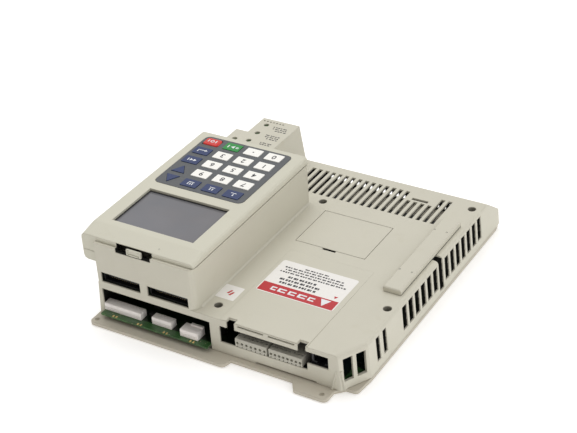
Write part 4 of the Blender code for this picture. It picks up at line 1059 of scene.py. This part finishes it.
class DRIVE_OT_keypad_trim(bpy.types.Operator):
    """Add the display frame, the mark and the pinhole below it, and the latch grip"""

    bl_idname = "drive.keypad_trim"
    bl_label = "Keypad trim"

    def execute(self, context):
        low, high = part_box("lcd_window")
        margin = 2.0 * MM
        inner_low = Vector((low.x + margin, low.y + margin, high.z))
        inner_high = Vector((high.x - margin, high.y - margin, high.z))
        frame_low = inner_low + Vector((0.15, 0.15, 0.02)) * MM
        frame_high = inner_high - Vector((0.15, 0.15, 0)) * MM
        frame_high.z = high.z + 0.5 * MM
        # a thin frame at the window's edge, black as painted shade for the shadow inside the
        # display's recess
        edge_shade = cube("display_gasket", frame_low, frame_high)
        hollow = cube(
            "gasket_cut",
            frame_low + Vector((0.9, 0.9, -1)) * MM,
            frame_high + Vector((-0.9, -0.9, 1)) * MM,
        )
        cut(edge_shade, hollow)
        round_edges(edge_shade, 0.12 * MM, 1)
        done(edge_shade, FINISHES["black"], "keypad", "overlay_film")

        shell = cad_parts["keypad_front_shell"]
        for name, x, y, radius in (
            ("light_sensor_hole", 56.4, 8.6, 0.62),
            ("gate_mark", 44.4, 9.4, 0.42),
        ):
            place = at(x, y, 0)
            found, spot, normal, _ = shell.ray_cast(place + UP, -UP)
            if not found:
                raise RuntimeError("the keypad's slope was not found")
            disc = cylinder(name, spot, radius * MM, 0.1 * MM, normal, 20)
            shaped(disc, ("faces", facing(normal),
                          chain(inset(0.12 * MM), push(normal * -0.06 * MM))))
            finish = "deep" if name.startswith("light") else "keypad"
            done(disc, FINISHES[finish], "keypad", "keypad_plastic")

        low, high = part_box("keypad_latch")
        latch = cube("latch_grip", low, high)
        width = high.x - low.x
        shaped(
            latch,
            ("edges", along(Vector((1, 0, 0))), bevel(0.35 * MM, 2)),
            (
                "faces",
                lambda f: f.normal.y < -0.99 and f.calc_area() > 0.4 * width * (high.z - low.z),
                chain(inset(1.1 * MM), push((0, 0.5 * MM, 0))),
            ),
        )
        for side in (-1, 1):
            x = (low.x + high.x) / 2 + side * width * 0.36
            slot_low = Vector((x - 0.25 * MM, low.y - MM, low.z + 0.4 * MM))
            slot_high = Vector((x + 0.25 * MM, low.y + 0.4 * MM, high.z + MM))
            cut(latch, cube("grip_slot", slot_low, slot_high))
        done(latch, FINISHES["latch"], "latch", "keypad_plastic", "keypad_latch")
        return {"FINISHED"}


class DRIVE_OT_cover_forms(bpy.types.Operator):
    """Raise the label panel, fill the tower's foot and dimple the expansion cover"""

    bl_idname = "drive.cover_forms"
    bl_label = "Cover forms"

    def execute(self, context):
        rise = sizes().panel_rise
        top = COVER_TOP - 0.05 * MM
        low = at(*PANEL_NEAR, 0)
        high = at(*PANEL_FAR, 0)
        low.z, high.z = top, COVER_TOP + rise
        panel = cube("label_panel", low, high)
        shaped(
            panel,
            (
                "verts",
                lambda v: v.co.y > high.y - MM and v.co.z > COVER_TOP,
                move((0, 0, -rise + 0.02 * MM)),
            ),
        )
        for x0, x1 in LIP_NOTCHES:
            cut(panel, cube("panel_notch", at(x0, -2, 30), at(x1, LIP_NOTCH_Y, 40)))
        round_edges(panel, 0.15 * MM, 1)
        done(panel, FINISHES["housing"], "drive", "housing_plastic", smooth=0)

        radius = sizes().foot_radius
        wall = at(TOWER_RIGHT, 0, 0).x
        low = Vector((wall - 0.1 * MM, at(0, 7, 0).y, COVER_TOP - 0.1 * MM))
        high = Vector((wall + radius, at(0, TOWER_FAR - 1, 0).y, COVER_TOP + radius))
        foot = cube("tower_foot", low, high)
        centre = Vector((wall + radius, (low.y + high.y) / 2, COVER_TOP + radius))
        cut(foot, cylinder("foot_cut", centre, radius, 0.4, NEAR, 48))
        done(foot, FINISHES["housing"], "drive", "housing_plastic")

        low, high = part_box("expansion_cover")
        shadow = cube(
            "cover_shadow_gap",
            (low.x + 0.4 * MM, low.y + 0.2 * MM, COVER_TOP - 0.1 * MM),
            (high.x + 0.15 * MM, high.y - 0.4 * MM, COVER_TOP + 0.28 * MM),
        )
        shaped(shadow, ("edges", along(UP), bevel(0.3 * MM, 2)))
        rim = Vector((SHADOW_RIM, SHADOW_RIM, 0))
        cut(shadow, cube("within", low + rim - UP * MM, high - rim + UP * MM))
        done(shadow, FINISHES["deep"], "drive", "housing_plastic")
        top = high.z
        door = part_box("access_door")
        middle_x = (door[0].x + door[1].x) / 2
        # a black block in the door's nail notch, painted as the shade inside the notch
        groove = cube(
            "door_nail_groove",
            (middle_x - GROOVE_REACH, door[0].y - 0.15 * MM, door[0].z + 0.15 * MM),
            (middle_x + GROOVE_REACH, door[0].y + 0.3 * MM, COVER_TOP - 0.35 * MM),
        )
        shaped(groove, ("edges", along(NEAR), bevel(0.4 * MM, 2)))
        done(groove, FINISHES["deep"], "door", "housing_plastic")
        # liners in the screw wells, in the darkened copy of the housing's plastic that paints the
        # wells' shade
        for index in range(1, 5):
            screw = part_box(f"housing_screw_{index}")
            middle = (screw[0] + screw[1]) / 2
            floor, rim = screw[1].z + 0.2 * MM, COVER_TOP - 0.4 * MM
            middle.z = (floor + rim) / 2
            well = cylinder(f"screw_well_{index}", middle, WELL_RADIUS, rim - floor, UP, 32)
            for way in (UP, -UP):
                shaped(well, ("faces", facing(way), lambda: bpy.ops.mesh.delete(type="ONLY_FACE")))
            walled(well, WELL_WALL)
            done(well, FINISHES["well"], "drive", "housing_plastic")
        dimples = []
        for x, y in DIMPLES:
            spot = at(x, y, 0)
            spot.z = top - 0.05 * MM
            dimple = cylinder("dimple", spot, 0.75 * MM, 0.2 * MM, UP, 12)
            shaped(dimple, ("faces", facing(UP), chain(inset(0.2 * MM), push((0, 0, -0.1 * MM)))))
            dimples.append(dimple)
        done(joined("cover_dimples", dimples), FINISHES["deep"], "expansion_lid", "housing_plastic")
        return {"FINISHED"}


class DRIVE_OT_labels(bpy.types.Operator):
    """Stick the generic label and the small mark on, and print the status marks"""

    bl_idname = "drive.labels"
    bl_label = "Labels and marks"

    def execute(self, context):
        film, ink = sizes().film, sizes().print_height
        ground = COVER_TOP + sizes().panel_rise - 0.04 * MM
        low, high = at(*LABEL_NEAR, 0), at(*LABEL_FAR, 0)
        low.z, high.z = ground - 0.2 * MM, ground + film
        sheet = cube("safety_label", low, high)
        fall = sizes().panel_rise / (PANEL_FAR[1] - PANEL_NEAR[1]) / MM
        shaped(sheet, ("edges", along(UP), bevel(2.2 * MM, 4)))
        tilt(sheet, fall)
        round_edges(sheet, 0.05 * MM, 1)
        done(sheet, FINISHES["label_white"], "drive", "housing_plastic")

        surface = high.z
        width = LABEL_FAR[0] - LABEL_NEAR[0]
        band_low = at(LABEL_NEAR[0] + BAND_MARGIN, LABEL_NEAR[1] + BAND_MARGIN, 0)
        band_high = at(LABEL_FAR[0] - BAND_MARGIN, LABEL_NEAR[1] + BAND_TOP, 0)
        band_low.z, band_high.z = surface - 0.1 * MM, surface + ink
        band = cube("label_band", band_low, band_high)
        tilt(band, fall)
        done(band, FINISHES["label_red"], "drive", "housing_plastic")

        x0, y0 = LABEL_NEAR
        white = [
            ("wedge", x0 + 0.84 * width, y0 + 6.8, 8.6, 8.2),
            ("bar", x0 + 0.68 * width, y0 + 6.6, 5.4, 4.6),
            ("bar", x0 + 0.56 * width, y0 + 6.6, 7.0, 4.6),
            ("bar", x0 + 0.43 * width, y0 + 6.6, 6.2, 4.6),
            ("bar", x0 + 0.30 * width, y0 + 6.6, 6.8, 4.6),
            ("bar", x0 + 0.19 * width, y0 + 6.6, 4.6, 4.6),
        ]
        marks_on("label_band_marks", white, surface + ink, ink, "white_ink", fall, hollow=True)
        lines = []
        for row, (y, left, right, height, chars) in enumerate(LABEL_LINES):
            lines += dashes(x0 + left, x0 + right, y0 + y, height, chars, row)
        marks_on("label_lines", lines, surface, ink, "ink", fall)
        marks_on(
            "label_spot",
            [("wedge", x0 + width - 6.0, y0 + 16.4, 3.4, 3.0)],
            surface,
            ink,
            "label_red",
            fall,
        )

        low, high = at(91.9, 24.0, 0), at(108.3, 41.5, 0)
        low.z, high.z = COVER_TOP - 0.05 * MM, COVER_TOP + film
        sticker = cube("voltage_sticker", low, high)
        shaped(sticker, ("edges", along(UP), bevel(0.8 * MM, 3)))
        round_edges(sticker, 0.05 * MM, 1)
        done(sticker, FINISHES["label_white"], "drive", "housing_plastic")
        bolt = [("slant", 99.0, 33.4, 1.7, 4.6), ("slant", 101.4, 31.6, 1.7, 4.6)]
        marks_on("sticker_mark", bolt, high.z, ink, "label_red")

        marks = []
        for row, (y, left, right, height, chars) in enumerate(STATUS_LINES):
            marks += dashes(left, right, y, height, chars, row + 3)
        marks_on("status_marks", marks, STATUS_TOP, ink, "ink")
        return {"FINISHED"}


class DRIVE_OT_headers(bpy.types.Operator):
    """Mould the white board connectors with their grooves, keys and legs"""

    bl_idname = "drive.headers"
    bl_label = "White connectors"

    def execute(self, context):
        for node in ("header_motor_feedback", "header_encoder_output", "header_serial_link"):
            low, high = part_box(node)
            tall = high.z - low.z
            body = cube(node.replace("header", "connector"), low, high)
            shaped(
                body,
                (
                    "edges",
                    lambda e: along(Vector((1, 0, 0)))(e) and edge_middle(e).z > high.z - 1e-6,
                    bevel(0.9 * MM, 3),
                ),
            )
            shaped(
                body,
                (
                    "edges",
                    lambda e: abs((e.verts[0].co - e.verts[1].co).normalized().x) < 0.1
                    and edge_middle(e).z > low.z + 1e-4,
                    bevel(0.35 * MM, 2),
                ),
            )
            cuts = [
                (
                    (low.x - MM, low.y - MM, low.z + 0.40 * tall),
                    (high.x + MM, low.y + 0.35 * MM, low.z + 0.40 * tall + 0.4 * MM),
                ),
                (
                    (low.x + 1.2 * MM, high.y - 2.3 * MM, high.z - 0.5 * MM),
                    (high.x - 1.2 * MM, high.y - 1.9 * MM, high.z + MM),
                ),
            ]
            pitch = 2.54 * MM
            ways = int((high.x - low.x - 2 * MM) / pitch)
            first = (low.x + high.x - (ways - 1) * pitch) / 2
            for way in range(ways):
                x = first + way * pitch
                cuts.append(
                    (
                        (x - 0.45 * MM, low.y - MM, low.z + 0.12 * tall),
                        (x + 0.45 * MM, low.y + 0.5 * MM, low.z + 0.24 * tall),
                    )
                )
            for a, b in cuts:
                cut(body, cube("groove", a, b))
            pieces = [body]
            if node == "header_serial_link":
                ridge = cube(
                    "key_ridge",
                    (low.x + 5.2 * MM, high.y - 2.6 * MM, high.z - 0.4 * MM),
                    (high.x, high.y, high.z + 1.2 * MM),
                )
                pieces.append(round_edges(ridge, 0.3 * MM, 2))
            done(joined(body.name, pieces), FINISHES["header"], "drive", "header_nylon", node)
            leg = cube(
                "leg",
                (first - 0.25 * MM, high.y - 0.3 * MM, low.z - 0.25 * MM),
                (first + 0.25 * MM, high.y + 1.4 * MM, low.z + 0.1 * MM),
            )
            round_edges(leg, 0.08 * MM, 1)
            legs = row_of(body.name + "_legs", leg, [(way * pitch, 0, 0) for way in range(ways)])
            done(legs, FINISHES["tin"], "drive", "header_nylon")
        return {"FINISHED"}


class DRIVE_OT_port_sockets(bpy.types.Operator):
    """Build the two black card-edge sockets with their rows of contacts"""

    bl_idname = "drive.port_sockets"
    bl_label = "Port sockets"

    def execute(self, context):
        for node in ("port_socket_left", "port_socket_right"):
            low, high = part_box(node)
            body = cube(node.replace("socket", "shell"), low, high)
            shaped(
                body,
                ("faces", facing(NEAR), chain(inset(1.0 * MM), push((0, 10.5 * MM, 0)))),
            )
            mouth = (low.x + high.x) / 2
            key = cube(
                "key_slot",
                (mouth - 2.2 * MM, low.y - MM, high.z - 1.6 * MM),
                (mouth + 2.2 * MM, low.y + 3 * MM, high.z + MM),
            )
            cut(body, key)
            round_edges(body, 0.2 * MM, 1)
            middle = (low.z + high.z) / 2
            tongue = cube(
                "tongue",
                (low.x + 3.4 * MM, low.y + 1.4 * MM, middle - 0.9 * MM),
                (high.x - 3.4 * MM, high.y - 1.0 * MM, middle + 0.9 * MM),
            )
            round_edges(tongue, 0.3 * MM, 2)
            done(joined(body.name, [body, tongue]), FINISHES["black"], "drive", "connector_black",
                 node)
            pitch = sizes().contact_pitch * 1.5
            ways = int((high.x - low.x - 10 * MM) / pitch)
            first = (low.x + high.x - (ways - 1) * pitch) / 2
            blades = []
            for level in (-1, 1):
                z = middle + level * 1.0 * MM
                blade = cube(
                    "blade",
                    (first - 0.32 * MM, low.y + 1.6 * MM, z - 0.14 * MM),
                    (first + 0.32 * MM, low.y + 8.0 * MM, z + 0.14 * MM),
                )
                blades.append(row_of("blades", blade, [(way * pitch, 0, 0) for way in range(ways)]))
            done(joined(body.name + "_contacts", blades), FINISHES["gold"], "drive",
                 "connector_black")
        return {"FINISHED"}


class DRIVE_OT_terminals(bpy.types.Operator):
    """Mould the pluggable terminals with their wire entries and screws"""

    bl_idname = "drive.terminals"
    bl_label = "Terminals"

    def execute(self, context):
        for side in ("left", "right"):
            node = f"terminal_plug_{side}"
            low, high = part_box(node)
            ways = round((high.x - low.x) / sizes().terminal_pitch)
            pitch = (high.x - low.x) / ways
            cell_high = Vector((low.x + pitch, high.y, high.z))
            cell = cube("terminal_cell", low, cell_high)
            shaped(
                cell,
                (
                    "edges",
                    lambda e: along(Vector((0, 1, 0)))(e) and edge_middle(e).z > high.z - 1e-6,
                    bevel(0.45 * MM, 2),
                ),
                (
                    "edges",
                    lambda e: along(Vector((1, 0, 0)))(e)
                    and edge_middle(e).z > high.z - 1e-6
                    and edge_middle(e).y < low.y + 1e-6,
                    bevel(1.3 * MM, 3),
                ),
            )
            x = low.x + pitch / 2
            entry = cylinder(
                "entry",
                (x, low.y, low.z + 3.4 * MM),
                1.15 * MM,
                7 * MM,
                NEAR,
                20,
            )
            cut(cell, entry)
            well = cylinder("well", (x, low.y + 4.6 * MM, high.z), 1.05 * MM, 2.4 * MM, UP, 20)
            cut(cell, well)
            nick = cube(
                "nick",
                (x - 0.5 * MM, low.y - MM, low.z - MM),
                (x + 0.5 * MM, low.y + 1.2 * MM, low.z + 1.1 * MM),
            )
            cut(cell, nick)
            offsets = [(way * pitch, 0, 0) for way in range(ways)]
            plug = row_of(node.replace("plug", "block"), cell, offsets)
            done(plug, FINISHES["terminal"], f"plug_{side}", "terminal_grey", node)
            screw = cylinder("screw", (x, low.y + 4.6 * MM, high.z - 0.9 * MM), 0.95 * MM,
                             0.6 * MM, UP, 16)
            groove = cube(
                "screw_slot",
                (x - MM, low.y + 4.45 * MM, high.z - 0.85 * MM),
                (x + MM, low.y + 4.75 * MM, high.z),
            )
            cut(screw, groove)
            screws = row_of(f"terminal_screws_{side}", screw, offsets)
            done(screws, FINISHES["steel"], f"plug_{side}", "terminal_grey")
        return {"FINISHED"}


class DRIVE_OT_jack(bpy.types.Operator):
    """Build the modular jack with its latch way and spring contacts"""

    bl_idname = "drive.jack"
    bl_label = "Modular jack"

    def execute(self, context):
        low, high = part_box("serial_jack")
        body = cube("modular_jack", low, high)
        mouth_low = Vector((low.x + 1.9 * MM, low.y - MM, 20.9 * MM))
        mouth_high = Vector((high.x - 1.9 * MM, low.y + 11 * MM, 27.4 * MM))
        cut(body, cube("mouth", mouth_low, mouth_high))
        middle = (low.x + high.x) / 2
        for half, drop in ((3.2, 1.5), (1.8, 2.8)):
            step = cube(
                "latch_way",
                (middle - half * MM, low.y - MM, mouth_low.z - drop * MM),
                (middle + half * MM, low.y + 9 * MM, mouth_low.z + MM),
            )
            cut(body, step)
        round_edges(body, 0.25 * MM, 2)
        done(body, FINISHES["black"], "drive", "connector_black", "serial_jack")
        wire = cube(
            "wire",
            (middle - 2.72 * MM, low.y + 1.2 * MM, mouth_high.z - 0.5 * MM),
            (middle - 2.38 * MM, low.y + 9.0 * MM, mouth_high.z - 0.15 * MM),
        )
        shaped(
            wire,
            (
                "verts",
                lambda v: v.co.y > low.y + 5 * MM,
                move((0, 0, -2.6 * MM)),
            ),
        )
        wires = row_of("jack_contacts", wire, [(way * 1.02 * MM, 0, 0) for way in range(6)])
        done(wires, FINISHES["gold"], "drive", "connector_black")
        return {"FINISHED"}


class DRIVE_OT_board_parts(bpy.types.Operator):
    """Solder the contact pads and the small parts onto the main board"""

    bl_idname = "drive.board_parts"
    bl_label = "Board parts"

    def execute(self, context):
        board_low, board_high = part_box("main_board")
        top = board_high.z
        pad = cube(
            "pad",
            (at(13.1, 0, 0).x - 0.7 * MM, board_low.y - 0.05 * MM, top - 0.1 * MM),
            (at(13.1, 0, 0).x + 0.7 * MM, board_low.y + 2.2 * MM, top + 0.06 * MM),
        )
        shaped(pad, ("edges", along(UP), bevel(0.25 * MM, 2)))
        offsets = []
        for start in (0.6, 24.0, 48.2, 72.8):
            offsets += [((start + shift) * MM, 0, 0) for shift in (0.0, 2.9)]
        done(row_of("edge_pads", pad, offsets), FINISHES["gold"], "drive", "board_laminate")

        taken = [
            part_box(name)
            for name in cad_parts
            if name not in ("main_board", "housing", "base_plate")
            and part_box(name)[0].z < top + 6 * MM
        ]
        spots = {"resistor": [], "chip": [], "can": []}
        seed = 7
        for index in range(420):
            seed = (seed * 1103515245 + 12345) % 2147483648
            u = seed / 2147483648
            seed = (seed * 1103515245 + 12345) % 2147483648
            v = seed / 2147483648
            kind = "chip" if index % 9 == 0 else "can" if index % 23 == 0 else "resistor"
            half_x, half_y = {"resistor": (1.0, 0.6), "chip": (3.2, 2.2), "can": (2.1, 2.1)}[kind]
            x = board_low.x + 3 * MM + u * (board_high.x - board_low.x - 6 * MM)
            y = board_low.y + 8 * MM + v * (board_high.y - board_low.y - 12 * MM)
            low = Vector((x - (half_x + 0.6) * MM, y - (half_y + 0.6) * MM, 0))
            high = Vector((x + (half_x + 0.6) * MM, y + (half_y + 0.6) * MM, 0))
            if any(
                low.x < b.x and high.x > a.x and low.y < b.y and high.y > a.y for a, b in taken
            ):
                continue
            if high.x > board_high.x - MM - max(0, 26 * MM - (y - board_low.y)) * 0.55:
                continue
            if near_post(x, y):
                continue
            taken.append((low, high))
            spots[kind].append((x, y))
        for kind, make, finish in (
            ("resistor", resistor, "chip"),
            ("chip", small_chip, "chip"),
            ("can", small_can, "aluminium"),
        ):
            if not spots[kind]:
                continue
            first = make(top)
            group = row_of(f"board_{kind}s", first, [(x, y, 0) for x, y in spots[kind]])
            done(group, FINISHES[finish], "drive", "board_laminate")
        return {"FINISHED"}


CLASSES = (
    DriveColours,
    DriveSizes,
    DRIVE_OT_stage,
    DRIVE_OT_finishes,
    DRIVE_OT_key_legends,
    DRIVE_OT_stop_dome,
    DRIVE_OT_keypad_trim,
    DRIVE_OT_cover_forms,
    DRIVE_OT_labels,
    DRIVE_OT_headers,
    DRIVE_OT_port_sockets,
    DRIVE_OT_terminals,
    DRIVE_OT_jack,
    DRIVE_OT_board_parts,
)


class DRIVE_PT_panel(bpy.types.Panel):
    """Lists the drive's colours, sizes and pieces"""

    bl_label = "Servo Drive"
    bl_idname = "DRIVE_PT_panel"
    bl_space_type = "VIEW_3D"
    bl_region_type = "UI"
    bl_category = "Servo Drive"

    def draw(self, context):
        layout = self.layout
        for group in (colours(), sizes()):
            box = layout.box()
            for key in group.__annotations__:
                box.prop(group, key)
        for kind in CLASSES:
            if issubclass(kind, bpy.types.Operator):
                layout.operator(kind.bl_idname)


def register():
    for kind in (*CLASSES, DRIVE_PT_panel):
        bpy.utils.register_class(kind)
    bpy.types.Scene.drive_colours = bpy.props.PointerProperty(type=DriveColours)
    bpy.types.Scene.drive_sizes = bpy.props.PointerProperty(type=DriveSizes)


def unregister():
    del bpy.types.Scene.drive_sizes
    del bpy.types.Scene.drive_colours
    for kind in reversed((*CLASSES, DRIVE_PT_panel)):
        bpy.utils.unregister_class(kind)


def main():
    register()
    for kind in CLASSES:
        if issubclass(kind, bpy.types.Operator):
            group, call = kind.bl_idname.split(".")
            getattr(getattr(bpy.ops, group), call)()


if __name__ == "__main__":
    main()
